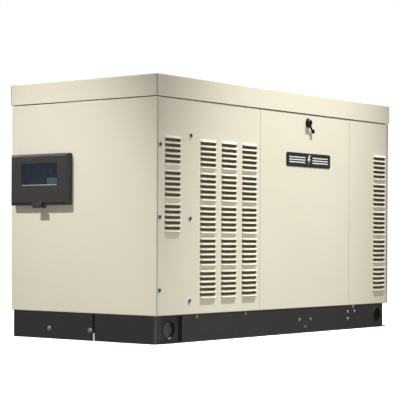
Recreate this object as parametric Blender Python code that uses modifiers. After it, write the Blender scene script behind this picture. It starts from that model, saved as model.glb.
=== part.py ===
"""Home standby generator: a louvred sheet-metal case on a steel base, with its engine and controls.

Metres, +Z up. The length runs along X with the controls at -X, the long louvred side faces -Y, and the base
stands on Z = 0. Positions inside the script are measured from the middle of the case; the empty
"case_middle" shifts everything so that the whole machine, cover latch included, is centred on the origin.
"""
import math

import bmesh
import bpy
from mathutils import Matrix, Vector
from mathutils.geometry import convex_hull_2d

# Driving dimensions of the case.
LENGTH = 1.580
WIDTH = 0.724
HEIGHT = 0.957
BASE_HEIGHT = 0.100
ROOF_HEIGHT = 0.078
OVERHANG = 0.003
SHEET = 0.0015
PLATE = 0.004
GAP = 0.0004
SEAM = 0.0015
FLANGE = 0.018

PANEL_X = LENGTH / 2 - OVERHANG
PANEL_Y = WIDTH / 2 - OVERHANG
ROOF_BOTTOM = HEIGHT - ROOF_HEIGHT
PANEL_LOW = BASE_HEIGHT + GAP
PANEL_HIGH = ROOF_BOTTOM - GAP

# Doors, the same on both long sides.
DOOR_LEFT = -0.162
DOOR_RIGHT = 0.472
DOOR_TOP = 0.876

# Pressed louvres.
LOUVRE_PITCH = 0.0192
LOUVRE_GROUP_EXTRA = 0.0038
LOUVRE_HEIGHT = 0.010
LOUVRE_DEPTH = 0.009
LOUVRE_CHEEK = 0.003
COLUMN_MARGIN = 0.008

# Control opening and cover.
COVER_Y = (0.045, 0.341)
COVER_Z = (0.497, 0.688)
COVER_DEPTH = 0.028
COVER_CHAMFER = 0.009
WINDOW_Y = (0.097, 0.281)
WINDOW_Z = (0.570, 0.652)
TAB_REACH = 0.0345
SCREEN_Y = (0.190, 0.300)
BUTTON_Y = 0.151

# Door latch.
LATCH_X = 0.160
LATCH_Z = 0.842
LATCH_PROUD = 0.016

# Engine and generator.
CRANK_Z = 0.360
FAN_Z = 0.500
CHARGER_Y = -0.185
CHARGER_Z = 0.455
BELT_X = (0.441, 0.461)
CRANK_PULLEY_R = 0.075
FAN_PULLEY_R = 0.055
CHARGER_PULLEY_R = 0.032

CASE_SHIFT = (PANEL_X + TAB_REACH - LENGTH / 2) / 2

# Unit directions of each side of the case: along the panel, up, and outwards.
SIDES = {
    "front": (Vector((1, 0, 0)), Vector((0, 0, 1)), Vector((0, -1, 0))),
    "rear": (Vector((-1, 0, 0)), Vector((0, 0, 1)), Vector((0, 1, 0))),
    "control": (Vector((0, -1, 0)), Vector((0, 0, 1)), Vector((-1, 0, 0))),
    "discharge": (Vector((0, 1, 0)), Vector((0, 0, 1)), Vector((1, 0, 0))),
}
AXES = {"X": Vector((1, 0, 0)), "Y": Vector((0, 1, 0)), "Z": Vector((0, 0, 1)),
        "-X": Vector((-1, 0, 0)), "-Y": Vector((0, -1, 0))}


def clear_scene():
    for old in list(bpy.data.objects):
        bpy.data.objects.remove(old, do_unlink=True)


def new_collection(name):
    collection = bpy.data.collections.new(name)
    bpy.context.scene.collection.children.link(collection)
    return collection


def finish_material(name, colour, roughness, metallic=0.0, alpha=1.0):
    material = bpy.data.materials.new(name)
    material.use_nodes = True
    shader = material.node_tree.nodes["Principled BSDF"]
    shader.inputs["Base Color"].default_value = (*colour, 1.0)
    shader.inputs["Roughness"].default_value = roughness
    shader.inputs["Metallic"].default_value = metallic
    shader.inputs["Alpha"].default_value = alpha
    return material


clear_scene()
PARTS = new_collection("home_standby_generator")
CUTTERS = new_collection("cutters")
MIDDLE = bpy.data.objects.new("case_middle", None)
MIDDLE.location.x = CASE_SHIFT
PARTS.objects.link(MIDDLE)

CREAM = finish_material("cream_powder_coat", (0.80, 0.75, 0.62), 0.5)
BASE_BLACK = finish_material("black_powder_coat", (0.04, 0.036, 0.038), 0.45)
CHARCOAL = finish_material("charcoal_plastic", (0.05, 0.045, 0.046), 0.5)
SMOKED_GLASS = finish_material("smoked_window", (0.10, 0.13, 0.16), 0.1, alpha=0.6)
BLACK_ZINC = finish_material("black_zinc", (0.03, 0.03, 0.03), 0.35, 0.8)
ZINC = finish_material("zinc_plate", (0.62, 0.62, 0.60), 0.35, 1.0)
RUBBER = finish_material("black_rubber", (0.02, 0.02, 0.02), 0.8)
CAST_IRON = finish_material("grey_engine_paint", (0.16, 0.17, 0.18), 0.55, 0.3)
CAST_ALUMINIUM = finish_material("cast_aluminium", (0.55, 0.56, 0.57), 0.45, 1.0)
FOAM = finish_material("grey_foam", (0.14, 0.14, 0.15), 0.95)
BLACK_PLASTIC = finish_material("black_plastic", (0.02, 0.02, 0.022), 0.5)
SCREEN = finish_material("screen_glass", (0.20, 0.32, 0.36), 0.15)
RED_PLASTIC = finish_material("red_plastic", (0.55, 0.03, 0.02), 0.4)
YELLOW_PLASTIC = finish_material("yellow_plastic", (0.75, 0.50, 0.05), 0.45)
STEEL = finish_material("bare_steel", (0.45, 0.45, 0.46), 0.4, 1.0)
ALUMINISED = finish_material("aluminised_steel", (0.50, 0.50, 0.49), 0.5, 1.0)
OIL_FILTER_WHITE = finish_material("white_canister_paint", (0.75, 0.75, 0.73), 0.4)


def add(name, data, material, collection=None):
    """Put mesh or curve data on a new object that belongs to the case."""
    piece = bpy.data.objects.new(name, data)
    (collection or PARTS).objects.link(piece)
    data.materials.append(material)
    piece.parent = MIDDLE
    return piece


def round_shade(piece, angle=35):
    piece.data.shade_smooth()
    piece.data.set_sharp_from_angle(angle=math.radians(angle))


def add_bevel(piece, width, segments=1):
    bevel = piece.modifiers.new("edges", "BEVEL")
    bevel.width = width
    bevel.segments = segments
    bevel.limit_method = "ANGLE"
    bevel.angle_limit = math.radians(40)


def add_thickness(piece, thickness):
    solid = piece.modifiers.new("thickness", "SOLIDIFY")
    solid.thickness = thickness
    solid.offset = -1
    solid.use_even_offset = True


def box(name, low, high, material, bevel=0.0):
    low, high = Vector(low), Vector(high)
    bpy.ops.mesh.primitive_cube_add(size=1)
    source = bpy.context.object
    mesh = source.data
    bpy.data.objects.remove(source, do_unlink=True)
    size = high - low
    mesh.transform(Matrix.Diagonal((*size, 1)))
    piece = add(name, mesh, material)
    piece.location = (low + high) / 2
    if bevel:
        add_bevel(piece, bevel)
    return piece


def turn_to(axis):
    """Rotation that takes local +Z to the named axis."""
    return AXES[axis].to_track_quat("Z", "Y").to_euler()


def cylinder(name, start, axis, length, radius, material, sides=24, bevel=0.0):
    """A round bar that starts at a point and runs along an axis."""
    mesh = bpy.data.meshes.new(name)
    shape = bmesh.new()
    bmesh.ops.create_cone(shape, cap_ends=True, segments=sides, radius1=radius, radius2=radius, depth=length)
    bmesh.ops.translate(shape, verts=shape.verts, vec=(0, 0, length / 2))
    shape.to_mesh(mesh)
    shape.free()
    piece = add(name, mesh, material)
    piece.location = start
    piece.rotation_euler = turn_to(axis)
    round_shade(piece)
    if bevel:
        add_bevel(piece, bevel)
    return piece


def turned(name, profile, origin, axis, material, sides=24):
    """A lathe shape: profile points are (radius, height along the axis), from the top down the outer side."""
    mesh = bpy.data.meshes.new(name)
    shape = bmesh.new()
    points = [shape.verts.new((radius, 0, height)) for radius, height in profile]
    for first, second in zip(points, points[1:]):
        shape.edges.new((first, second))
    if profile[0][0] > 0:
        shape.edges.new((points[-1], points[0]))
    shape.to_mesh(mesh)
    shape.free()
    piece = add(name, mesh, material)
    piece.location = origin
    piece.rotation_euler = turn_to(axis)
    screw = piece.modifiers.new("lathe", "SCREW")
    screw.steps = sides
    screw.render_steps = sides
    screw.use_merge_vertices = True
    screw.merge_threshold = 0.0001
    screw.use_smooth_shade = False
    return piece


def pipe(name, points, radius, material):
    """A bent tube along a smooth curve through the points, with closed ends."""
    curve = bpy.data.curves.new(name, "CURVE")
    curve.dimensions = "3D"
    curve.bevel_depth = radius
    curve.bevel_resolution = 2
    curve.use_fill_caps = True
    curve.resolution_u = 4
    spline = curve.splines.new("BEZIER")
    spline.bezier_points.add(len(points) - 1)
    for knot, place in zip(spline.bezier_points, points):
        knot.co = place
        knot.handle_left_type = "AUTO"
        knot.handle_right_type = "AUTO"
    return add(name, curve, material)


def hide_helper(piece):
    for collection in list(piece.users_collection):
        collection.objects.unlink(piece)
    CUTTERS.objects.link(piece)
    piece.hide_render = True
    piece.display_type = "WIRE"


def boolean(piece, helpers, operation):
    for helper in helpers:
        modifier = piece.modifiers.new(operation.lower(), "BOOLEAN")
        modifier.operation = operation
        modifier.solver = "EXACT"
        modifier.object = helper
        hide_helper(helper)
    return piece


def join(piece, *others):
    return boolean(piece, others, "UNION")


def cut(piece, *others):
    return boolean(piece, others, "DIFFERENCE")


# ---------------------------------------------------------------- sheet-metal panels

def louvre_tops(top, group_sizes):
    """Heights of the upper edge of each louvre, with a little extra space between groups."""
    tops = []
    level = top
    for size in group_sizes:
        for _ in range(size):
            tops.append(level)
            level -= LOUVRE_PITCH
        level -= LOUVRE_GROUP_EXTRA
    return tops


def split_faces(shape, faces, point, normal):
    """Cut the given faces along a plane, and return every face that they became."""
    inside = set(faces)
    edges = {e for f in inside for e in f.edges}
    verts = {v for f in inside for v in f.verts}
    geometry = [*inside, *edges, *verts]
    result = bmesh.ops.bisect_plane(shape, geom=geometry, plane_co=point, plane_no=normal, dist=1e-6)
    return [item for item in result["geom"] if isinstance(item, bmesh.types.BMFace)]


def faces_between(faces, axis, low, high):
    return [f for f in faces if low < f.calc_center_median()[axis] < high]


def press_hood(shape, face, depth, cheek):
    """Replace one face of the sheet by a louvre hood that is open at its lower edge."""
    corners = sorted(face.verts, key=lambda v: (round(v.co.y, 5), v.co.x))
    low_left, low_right, high_left, high_right = corners
    bmesh.ops.delete(shape, geom=[face], context="FACES_ONLY")
    lip_left = shape.verts.new(low_left.co + Vector((cheek, 0, depth)))
    lip_right = shape.verts.new(low_right.co + Vector((-cheek, 0, depth)))
    shape.faces.new((lip_left, lip_right, high_right, high_left))
    shape.faces.new((low_left, lip_left, high_left))
    shape.faces.new((low_right, high_right, lip_right))


def panel(name, side, across, up, columns=(), depth=LOUVRE_DEPTH, height=LOUVRE_HEIGHT, flange=FLANGE):
    """A folded sheet panel in the plane of one side, with return flanges and columns of louvres.

    The mesh is drawn flat (x along the side, y up, z outwards) and then stood up on its side. Each column is
    (left, right, heights of the louvres' upper edges), measured along the side.
    """
    along, upward, outward = SIDES[side]
    reach = PANEL_X if side in ("control", "discharge") else PANEL_Y
    shape = bmesh.new()
    bmesh.ops.create_grid(shape, x_segments=1, y_segments=1, size=0.5)
    width, tall = across[1] - across[0], up[1] - up[0]
    bmesh.ops.scale(shape, vec=(width, tall, 1), verts=shape.verts)
    bmesh.ops.translate(shape, vec=((across[0] + across[1]) / 2, (up[0] + up[1]) / 2, 0), verts=shape.verts)
    faces = list(shape.faces)
    for left, right, _ in columns:
        for edge in (left - COLUMN_MARGIN, left, right, right + COLUMN_MARGIN):
            faces = split_faces(shape, faces, (edge, 0, 0), (1, 0, 0))
    if flange:
        rim = [e for e in shape.edges if e.is_boundary]
        folded = bmesh.ops.extrude_edge_only(shape, edges=rim)["geom"]
        folded_verts = [v for v in folded if isinstance(v, bmesh.types.BMVert)]
        bmesh.ops.translate(shape, vec=(0, 0, -flange), verts=folded_verts)
    hoods = []
    for left, right, tops in columns:
        level_faces = [f for f in shape.faces if all(abs(v.co.z) < 1e-6 for v in f.verts)]
        strip = faces_between(level_faces, 0, left, right)
        for top in tops:
            for level in (top, top - height):
                strip = split_faces(shape, strip, (0, level, 0), (0, 1, 0))
        for top in tops:
            hoods += faces_between(strip, 1, top - height, top)
    cheek = LOUVRE_CHEEK if depth > 0 else 0.0
    for face in hoods:
        press_hood(shape, face, depth, cheek)
    wide = [f for f in shape.faces if len(f.verts) > 4]
    bmesh.ops.triangulate(shape, faces=wide, ngon_method="BEAUTY")
    bmesh.ops.recalc_face_normals(shape, faces=shape.faces)
    if sum(f.normal.z * f.calc_area() for f in shape.faces) < 0:
        bmesh.ops.reverse_faces(shape, faces=shape.faces)
    mesh = bpy.data.meshes.new(name)
    shape.to_mesh(mesh)
    shape.free()
    piece = add(name, mesh, CREAM)
    frame = Matrix((along, upward, outward)).transposed().to_4x4()
    mesh.transform(frame)
    piece.location = outward * reach
    add_thickness(piece, SHEET)
    return piece


def make_panels():
    side_up = (PANEL_LOW, PANEL_HIGH)
    inner_end = PANEL_X - SHEET - GAP
    full = (6, 6, 6, 6, 6)
    service = (-0.741, -0.652, louvre_tops(0.7415, (6, 6, 6)))
    wide_columns = [(left, left + 0.094, louvre_tops(0.738, full)) for left in (-0.537, -0.409, -0.280)]
    panel("front_louvre_panel", "front", (-inner_end, DOOR_LEFT - SEAM), side_up, [service, *wide_columns])
    discharge_column = (0.667, 0.761, louvre_tops(0.738, full))
    panel("front_right_panel", "front", (DOOR_RIGHT + SEAM, inner_end), side_up, [discharge_column])
    rear_columns = [(left, left + 0.094, louvre_tops(0.738, (6, 6, 6))) for left in (0.280, 0.440)]
    panel("rear_louvre_panel", "rear", (-DOOR_LEFT + SEAM, inner_end), side_up, rear_columns)
    panel("rear_right_panel", "rear", (-inner_end, -DOOR_RIGHT - SEAM), side_up)
    end_across = (-PANEL_Y, PANEL_Y)
    control = panel("control_end_panel", "control", end_across, side_up, flange=0)
    opening = box("control_opening", (-0.80, COVER_Y[0] + 0.005, COVER_Z[0] + 0.004),
                  (-0.77, COVER_Y[1] - 0.005, COVER_Z[1] - 0.004), CREAM)
    cut(control, opening)
    blades = (-0.27, 0.27, [0.76 - 0.046 * step for step in range(13)])
    panel("discharge_end_panel", "discharge", end_across, side_up, [blades], depth=-0.016, height=0.026,
          flange=0)


def open_pan(name, low, high, material, thickness, open_axis, open_high, chamfer=0.0):
    """A box with one face left off, thickened inwards; the faces opposite the opening may be chamfered."""
    low, high = Vector(low), Vector(high)
    shape = bmesh.new()
    bmesh.ops.create_cube(shape, size=1)
    bmesh.ops.scale(shape, vec=high - low, verts=shape.verts)
    bmesh.ops.translate(shape, vec=(low + high) / 2, verts=shape.verts)
    sign = 1 if open_high else -1
    far = [f for f in shape.faces if f.normal[open_axis] * sign > 0.5]
    near = [f for f in shape.faces if f.normal[open_axis] * sign < -0.5]
    if chamfer:
        bmesh.ops.bevel(shape, geom=near[0].edges[:], offset=chamfer, segments=1, profile=0.5,
                        affect="EDGES", material=-1)
    bmesh.ops.delete(shape, geom=far, context="FACES_ONLY")
    mesh = bpy.data.meshes.new(name)
    shape.to_mesh(mesh)
    shape.free()
    piece = add(name, mesh, material)
    add_thickness(piece, thickness)
    return piece


def make_roof():
    open_pan("roof", (-LENGTH / 2, -WIDTH / 2, ROOF_BOTTOM), (LENGTH / 2, WIDTH / 2, HEIGHT),
             CREAM, SHEET, 2, False, chamfer=0.003)


# ---------------------------------------------------------------- base

WEB_Y = PANEL_Y - 0.003
RECESS_Y = WEB_Y - 0.013
RECESS_END_X = -0.632
RAIL_LEFT = -0.7625
RAIL_RIGHT = 0.752
FLANGE_RIGHT = 0.769
LIFT_HOLES = ((-0.695, 0.046, 0.032), (0.705, 0.053, 0.0285))
RAIL_INNER_Y = 0.330
SKIRT_GAP_Y = (-0.069, -0.060)
CORNER_R = 0.024


def make_rail(name, side):
    """A folded base rail: an upright web with a set-back end, and a foot and a top flange."""
    def slab(part, x, y, z):
        near, far = sorted((y[0] * side, y[1] * side))
        return box(name + part, (x[0], near, z[0]), (x[1], far, z[1]), BASE_BLACK)

    upright = (0.0, BASE_HEIGHT)
    web = slab("", (RECESS_END_X - PLATE, RAIL_RIGHT), (WEB_Y - PLATE, WEB_Y), upright)
    recess = slab("_recess", (RAIL_LEFT, RECESS_END_X), (RECESS_Y - PLATE, RECESS_Y), upright)
    jog = slab("_jog", (RECESS_END_X - PLATE, RECESS_END_X), (RECESS_Y - PLATE, WEB_Y), upright)
    foot = slab("_foot", (RAIL_LEFT, FLANGE_RIGHT), (RAIL_INNER_Y, WEB_Y + 0.005), (0.0, PLATE))
    shelf = slab("_shelf", (RAIL_LEFT, RAIL_RIGHT), (RAIL_INNER_Y, WEB_Y - 0.001),
                 (BASE_HEIGHT - PLATE, BASE_HEIGHT))
    web.name = name
    join(web, recess, jog, foot, shelf)
    holes = [cylinder(name + "_hole", (x, -0.4, z), "Y", 0.8, radius, BASE_BLACK, 32)
             for x, z, radius in LIFT_HOLES]
    return cut(web, *holes)


def make_skirt(name, y_low, y_high, round_low, round_high):
    """A bent plate across the end of the base, with a quarter-round corner at its outer end."""
    shape = bmesh.new()
    path = []
    steps = 5
    for turn in range(steps + 1):
        angle = math.radians(90) * turn / steps
        if round_low:
            path.append((-PANEL_X + CORNER_R - CORNER_R * math.sin(angle),
                         y_low + CORNER_R - CORNER_R * math.cos(angle)))
    if not round_low:
        path.append((-PANEL_X, y_low))
    if round_high:
        for turn in range(steps + 1):
            angle = math.radians(90) * turn / steps
            path.append((-PANEL_X + CORNER_R - CORNER_R * math.cos(angle),
                         y_high - CORNER_R + CORNER_R * math.sin(angle)))
    else:
        path.append((-PANEL_X, y_high))
    points = [shape.verts.new((x, y, 0.0)) for x, y in path]
    edges = [shape.edges.new(pair) for pair in zip(points, points[1:])]
    raised = bmesh.ops.extrude_edge_only(shape, edges=edges)["geom"]
    raised_verts = [v for v in raised if isinstance(v, bmesh.types.BMVert)]
    bmesh.ops.translate(shape, vec=(0, 0, BASE_HEIGHT), verts=raised_verts)
    for face in shape.faces:
        face.normal_update()
        inwards = abs(face.normal.x) < 0.01 and face.normal.y * face.calc_center_median().y < 0
        if face.normal.x > 0.01 or inwards:
            face.normal_flip()
    mesh = bpy.data.meshes.new(name)
    shape.to_mesh(mesh)
    shape.free()
    piece = add(name, mesh, BASE_BLACK)
    add_thickness(piece, 0.003)
    return piece


def make_base():
    make_rail("base_rail_front", -1)
    make_rail("base_rail_rear", 1)
    inner = RAIL_INNER_Y - GAP
    for name, x in (("crossmember_generator", -0.41), ("crossmember_engine", 0.27)):
        member = box(name, (x - 0.04, -inner, 0.0), (x + 0.04, inner, 0.086), BASE_BLACK)
        hollow = box(name + "_hollow", (x - 0.036, -inner - 0.01, PLATE), (x + 0.036, inner + 0.01, 0.082),
                     BASE_BLACK)
        cut(member, hollow)
    pan = box("floor_pan", (-0.755, -inner, 0.087), (0.745, inner, 0.090), BASE_BLACK)
    stub_up = box("conduit_opening", (-0.740, -0.20, 0.07), (-0.625, 0.20, 0.12), BASE_BLACK)
    cut(pan, stub_up)
    make_skirt("end_skirt_front", -PANEL_Y, SKIRT_GAP_Y[0], True, False)
    make_skirt("end_skirt_rear", SKIRT_GAP_Y[1], PANEL_Y, False, True)


# ---------------------------------------------------------------- doors and latches

def make_door(prefix, side):
    """A lift-off door: folded panel with a latch hole near its top edge."""
    sign = 1 if side == "front" else -1
    across = sorted((DOOR_LEFT * sign, DOOR_RIGHT * sign))
    door = panel(prefix + "_door", side, across, (PANEL_LOW, DOOR_TOP))
    hole = cylinder(prefix + "_latch_hole", (LATCH_X, -sign * (PANEL_Y - 0.05), LATCH_Z),
                    "-Y" if sign > 0 else "Y", 0.1, 0.0118, CREAM)
    return cut(door, hole)


def make_latch(prefix, side, with_body):
    """A quarter-turn latch; heights are measured outwards from the door's face."""
    outward = "-Y" if side == "front" else "Y"
    sign = -1 if side == "front" else 1
    origin = (LATCH_X, sign * PANEL_Y, LATCH_Z)
    if with_body:
        turned(prefix + "_latch_body",
               [(0.0062, 0.0060), (0.0175, 0.0060), (0.0190, 0.0045), (0.0190, GAP), (0.0112, GAP),
                (0.0112, -0.0190), (0.0062, -0.0190)], origin, outward, BLACK_ZINC, 32)
    collar = 0.0064 if with_body else GAP
    knob = turned(prefix + "_latch_knob",
                  [(0, LATCH_PROUD), (0.0110, LATCH_PROUD), (0.0132, 0.0138), (0.0132, collar),
                   (0.0057, collar), (0.0057, -0.0200), (0, -0.0200)], origin, outward, BLACK_ZINC)
    cam_y = sorted((sign * (PANEL_Y - 0.0195), sign * (PANEL_Y - 0.0235)))
    cam = box(prefix + "_cam", (LATCH_X - 0.008, cam_y[0], LATCH_Z - 0.009),
              (LATCH_X + 0.008, cam_y[1], LATCH_Z + 0.027), BLACK_ZINC)
    grip_y = sorted((sign * (PANEL_Y + LATCH_PROUD - 0.0045), sign * (PANEL_Y + LATCH_PROUD + 0.001)))
    slot = box(prefix + "_key_slot", (LATCH_X - 0.0016, grip_y[0], LATCH_Z - 0.006),
               (LATCH_X + 0.0016, grip_y[1], LATCH_Z + 0.006), BLACK_ZINC)
    join(knob, cam)
    cut(knob, slot)


def make_key_cover():
    """A small egg-shaped cap that hangs from a stud on the edge of the escutcheon."""
    pivot = Vector((LATCH_X + 0.010, -PANEL_Y - 0.0064, LATCH_Z - 0.017))
    tip = pivot + Vector((0.017, 0, -0.016))
    lug = cylinder("front_key_cover", pivot, "-Y", 0.004, 0.005, BLACK_PLASTIC, 16)
    cap = cylinder("key_cap", tip, "-Y", 0.005, 0.009, BLACK_PLASTIC, 20)
    strap = box("key_strap", (-0.0035, -0.0035, -0.012), (0.0035, 0, 0.012), BLACK_PLASTIC)
    strap.location = (pivot + tip) / 2 + Vector((0, -0.00195, 0))
    strap.rotation_euler = (0, math.radians(-47), 0)
    join(lug, strap, cap)


def make_doors():
    make_door("front", "front")
    make_door("rear", "rear")
    box("front_door_lining", (DOOR_LEFT + 0.006, -PANEL_Y + SHEET + GAP, PANEL_LOW + 0.006),
        (DOOR_RIGHT - 0.006, -PANEL_Y + 0.024, 0.795), FOAM, bevel=0.002)
    make_latch("front", "front", True)
    make_latch("rear", "rear", False)
    make_key_cover()


# ---------------------------------------------------------------- controls

def make_controls():
    wall_y = (COVER_Y[0] + 0.008, COVER_Y[1] - 0.008)
    wall_z = (COVER_Z[0] + 0.006, COVER_Z[1] - 0.006)
    open_pan("control_housing", (-PANEL_X + GAP, wall_y[0], wall_z[0]), (-0.690, wall_y[1], wall_z[1]),
             BLACK_PLASTIC, 0.002, 0, False)
    middle_y = (COVER_Y[0] + COVER_Y[1]) / 2
    module = box("control_module", (-0.776, middle_y - 0.120, 0.520), (-0.6925, middle_y + 0.120, 0.668),
                 CHARCOAL, bevel=0.003)
    button_hole = cylinder("button_hole", (-0.80, BUTTON_Y, 0.625), "X", 0.040, 0.0046, CHARCOAL, 16)
    screen_recess = box("screen_recess", (-0.80, SCREEN_Y[0], 0.572), (-0.7735, SCREEN_Y[1], 0.650), CHARCOAL)
    cut(module, button_hole, screen_recess)
    box("touchscreen", (-0.7765, SCREEN_Y[0] + GAP, 0.5724), (-0.7739, SCREEN_Y[1] - GAP, 0.6496), SCREEN,
        bevel=0.0005)
    turned("stop_button", [(0, 0.0150), (0.0090, 0.0150), (0.0115, 0.0130), (0.0115, 0.0080),
                           (0.0041, 0.0080), (0.0041, -0.0060), (0, -0.0060)],
           (-0.776, BUTTON_Y, 0.625), "-X", RED_PLASTIC, 20)
    cover_x = (-PANEL_X - 0.0005 - COVER_DEPTH, -PANEL_X - 0.0005)
    cover_low, cover_high = zip(cover_x, COVER_Y, COVER_Z)
    cover = open_pan("control_cover", cover_low, cover_high, CHARCOAL, 0.0025, 0, True, chamfer=COVER_CHAMFER)
    pane_hole = box("pane_hole", (cover_x[0] - 0.01, WINDOW_Y[0], WINDOW_Z[0]),
                    (cover_x[0] + 0.01, WINDOW_Y[1], WINDOW_Z[1]), CHARCOAL)
    cut(cover, pane_hole)
    box("cover_window", (cover_x[0] + 0.0006, WINDOW_Y[0] + GAP, WINDOW_Z[0] + GAP),
        (cover_x[0] + 0.0022, WINDOW_Y[1] - GAP, WINDOW_Z[1] - GAP), SMOKED_GLASS)
    front_x = -PANEL_X - TAB_REACH
    tab = box("cover_latch", (front_x, middle_y - 0.023, COVER_Z[0] - 0.011),
              (front_x + 0.0045, middle_y + 0.023, COVER_Z[0] + 0.009), CHARCOAL, bevel=0.001)
    hook = box("latch_hook", (front_x + 0.001, middle_y - 0.018, COVER_Z[0] - 0.0095),
               (-PANEL_X - 0.003, middle_y + 0.018, COVER_Z[0] - 0.0035), CHARCOAL)
    join(tab, hook)
    breaker = box("main_breaker", (-0.700, -0.300, 0.480), (-0.6025, -0.215, 0.660), BLACK_PLASTIC,
                  bevel=0.003)
    pocket = box("toggle_pocket", (-0.666, -0.310, 0.535), (-0.642, -0.270, 0.605), BLACK_PLASTIC)
    cut(breaker, pocket)
    toggle = cylinder("breaker_toggle", (-0.6645, -0.285, 0.570), "X", 0.021, 0.009, BLACK_PLASTIC, 16)
    lever = box("toggle_lever", (-0.661, -0.318, 0.5655), (-0.647, -0.285, 0.5745), BLACK_PLASTIC, bevel=0.001)
    join(toggle, lever)


# ---------------------------------------------------------------- generator and engine

def make_mounts():
    for name, x, post in (("mount_rail_generator", -0.41, None), ("mount_rail_engine", 0.27, 0.330)):
        rail = box(name, (x - 0.03, -0.17, 0.128), (x + 0.03, 0.17, 0.150), STEEL, bevel=0.003)
        pieces = [cylinder(name + "_isolator", (x, y, 0.0904), "Z", 0.045, 0.028, RUBBER, 20)
                  for y in (-0.13, 0.13)]
        if post:
            for side in (-1, 1):
                near, far = sorted((side * 0.138, side * 0.150))
                pieces.append(box(name + "_post", (x - 0.03, near, 0.140), (x + 0.03, far, post), STEEL))
                near, far = sorted((side * 0.1154, side * 0.145))
                pieces.append(box(name + "_lug", (x - 0.03, near, post - 0.03), (x + 0.03, far, post), STEEL))
        join(rail, *pieces)


def make_generator():
    stator = turned("stator_housing", [(0.118, 0.420), (0.172, 0.420), (0.180, 0.410), (0.180, 0.020),
                                       (0.165, 0.0), (0.026, 0.0), (0.026, 0.020), (0.118, 0.020)],
                    (-0.550, 0, CRANK_Z), "X", CAST_IRON, 40)
    feet = [box("stator_foot", (-0.435, side * 0.11 - 0.035, 0.1504), (-0.385, side * 0.11 + 0.035, 0.235),
                CAST_IRON) for side in (-1, 1)]
    outlet = box("outlet_box", (-0.48, -0.07, 0.52), (-0.36, 0.07, 0.575), CAST_IRON, bevel=0.004)
    join(stator, *feet, outlet)
    vents = []
    for step in range(10):
        angle = math.radians(36) * step
        place = (-0.60, 0.085 * math.cos(angle), CRANK_Z + 0.085 * math.sin(angle))
        vents.append(cylinder("vent", place, "X", 0.08, 0.009, CAST_IRON, 12))
    cut(stator, *vents)
    turned("rotor", [(0, 0.460), (0.030, 0.460), (0.030, 0.395), (0.112, 0.390), (0.112, 0.035),
                     (0.0252, 0.030), (0.0252, -0.015), (0, -0.015)], (-0.550, 0, CRANK_Z), "X", STEEL, 28)
    housing = turned("flywheel_housing", [(0.022, 0.1070), (0.170, 0.1070), (0.190, 0.090), (0.190, 0.0),
                                          (0.160, 0.0), (0.160, 0.095), (0.022, 0.095)],
                     (-0.1296, 0, CRANK_Z), "X", CAST_ALUMINIUM, 40)
    boss = cylinder("starter_boss", (-0.0450, -0.165, 0.262), "X", 0.0224, 0.042, CAST_ALUMINIUM, 20)
    join(housing, boss)
    turned("flywheel", [(0, 0.030), (0.150, 0.030), (0.153, 0.026), (0.153, 0.004), (0.150, 0), (0, 0)],
           (-0.0890, 0, CRANK_Z), "X", STEEL, 36)
    turned("starter_motor", [(0, 0.145), (0.030, 0.145), (0.036, 0.138), (0.036, 0.030), (0.028, 0.026),
                             (0.028, 0), (0, 0)], (-0.0222, -0.166, 0.262), "X", BLACK_PLASTIC, 20)


def make_engine():
    block = box("engine_block", (-0.0221, -0.115, 0.280), (0.400, 0.115, 0.500), CAST_IRON, bevel=0.010)
    timing = box("timing_cover", (0.390, -0.090, 0.285), (0.425, 0.090, 0.560), CAST_IRON, bevel=0.008)
    pump = cylinder("pump_boss", (0.420, 0, FAN_Z), "X", 0.014, 0.036, CAST_IRON, 20)
    ribs = [box("rib", (0.04 + 0.09 * step, -0.122, 0.300), (0.052 + 0.09 * step, 0.122, 0.470), CAST_IRON)
            for step in range(4)]
    join(block, timing, pump, *ribs)
    pan = box("oil_pan", (0.030, -0.095, 0.165), (0.370, 0.095, 0.2796), BLACK_PLASTIC, bevel=0.014)
    drain = cylinder("drain_boss", (0.200, -0.085, 0.185), "-Y", 0.018, 0.010, BLACK_PLASTIC, 12)
    join(pan, drain)
    box("cylinder_head", (-0.010, -0.095, 0.5004), (0.3896, 0.095, 0.590), CAST_ALUMINIUM, bevel=0.005)
    valve_cover = box("valve_cover", (0.000, -0.062, 0.5904), (0.380, 0.062, 0.660), BLACK_PLASTIC,
                      bevel=0.014)
    neck = cylinder("filler_neck", (0.060, 0, 0.650), "Z", 0.022, 0.021, BLACK_PLASTIC, 20)
    join(valve_cover, neck)
    cap = turned("oil_filler_cap", [(0, 0.020), (0.022, 0.020), (0.028, 0.014), (0.028, 0), (0, 0)],
                 (0.060, 0, 0.6724), "Z", YELLOW_PLASTIC, 20)
    grip = box("cap_grip", (0.035, -0.004, 0.685), (0.085, 0.004, 0.704), YELLOW_PLASTIC)
    join(cap, grip)
    manifolds = (("intake_manifold", -1, CAST_ALUMINIUM), ("exhaust_manifold", 1, CAST_IRON))
    for name, side, metal in manifolds:
        log = cylinder(name, (0.020, side * 0.150, 0.545), "X", 0.340, 0.026, metal, 20, bevel=0.004)
        runners = []
        for step in range(4):
            x = 0.045 + 0.085 * step
            near, far = sorted((side * 0.0954, side * 0.140))
            runners.append(box(name + "_runner", (x, near, 0.530), (x + 0.036, far, 0.560), metal))
        join(log, *runners)
    turned("oil_filter", [(0, 0.105), (0.030, 0.105), (0.038, 0.097), (0.038, 0.010), (0.034, 0), (0, 0)],
           (0.190, -0.1226, 0.365), "-Y", OIL_FILTER_WHITE, 24)
    dipstick = cylinder("dipstick", (-0.004, 0.128, 0.330), "Z", 0.350, 0.003, STEEL, 8)
    handle = cylinder("dipstick_handle", (-0.004, 0.128, 0.670), "Z", 0.022, 0.009, YELLOW_PLASTIC, 12)
    join(dipstick, handle)


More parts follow.
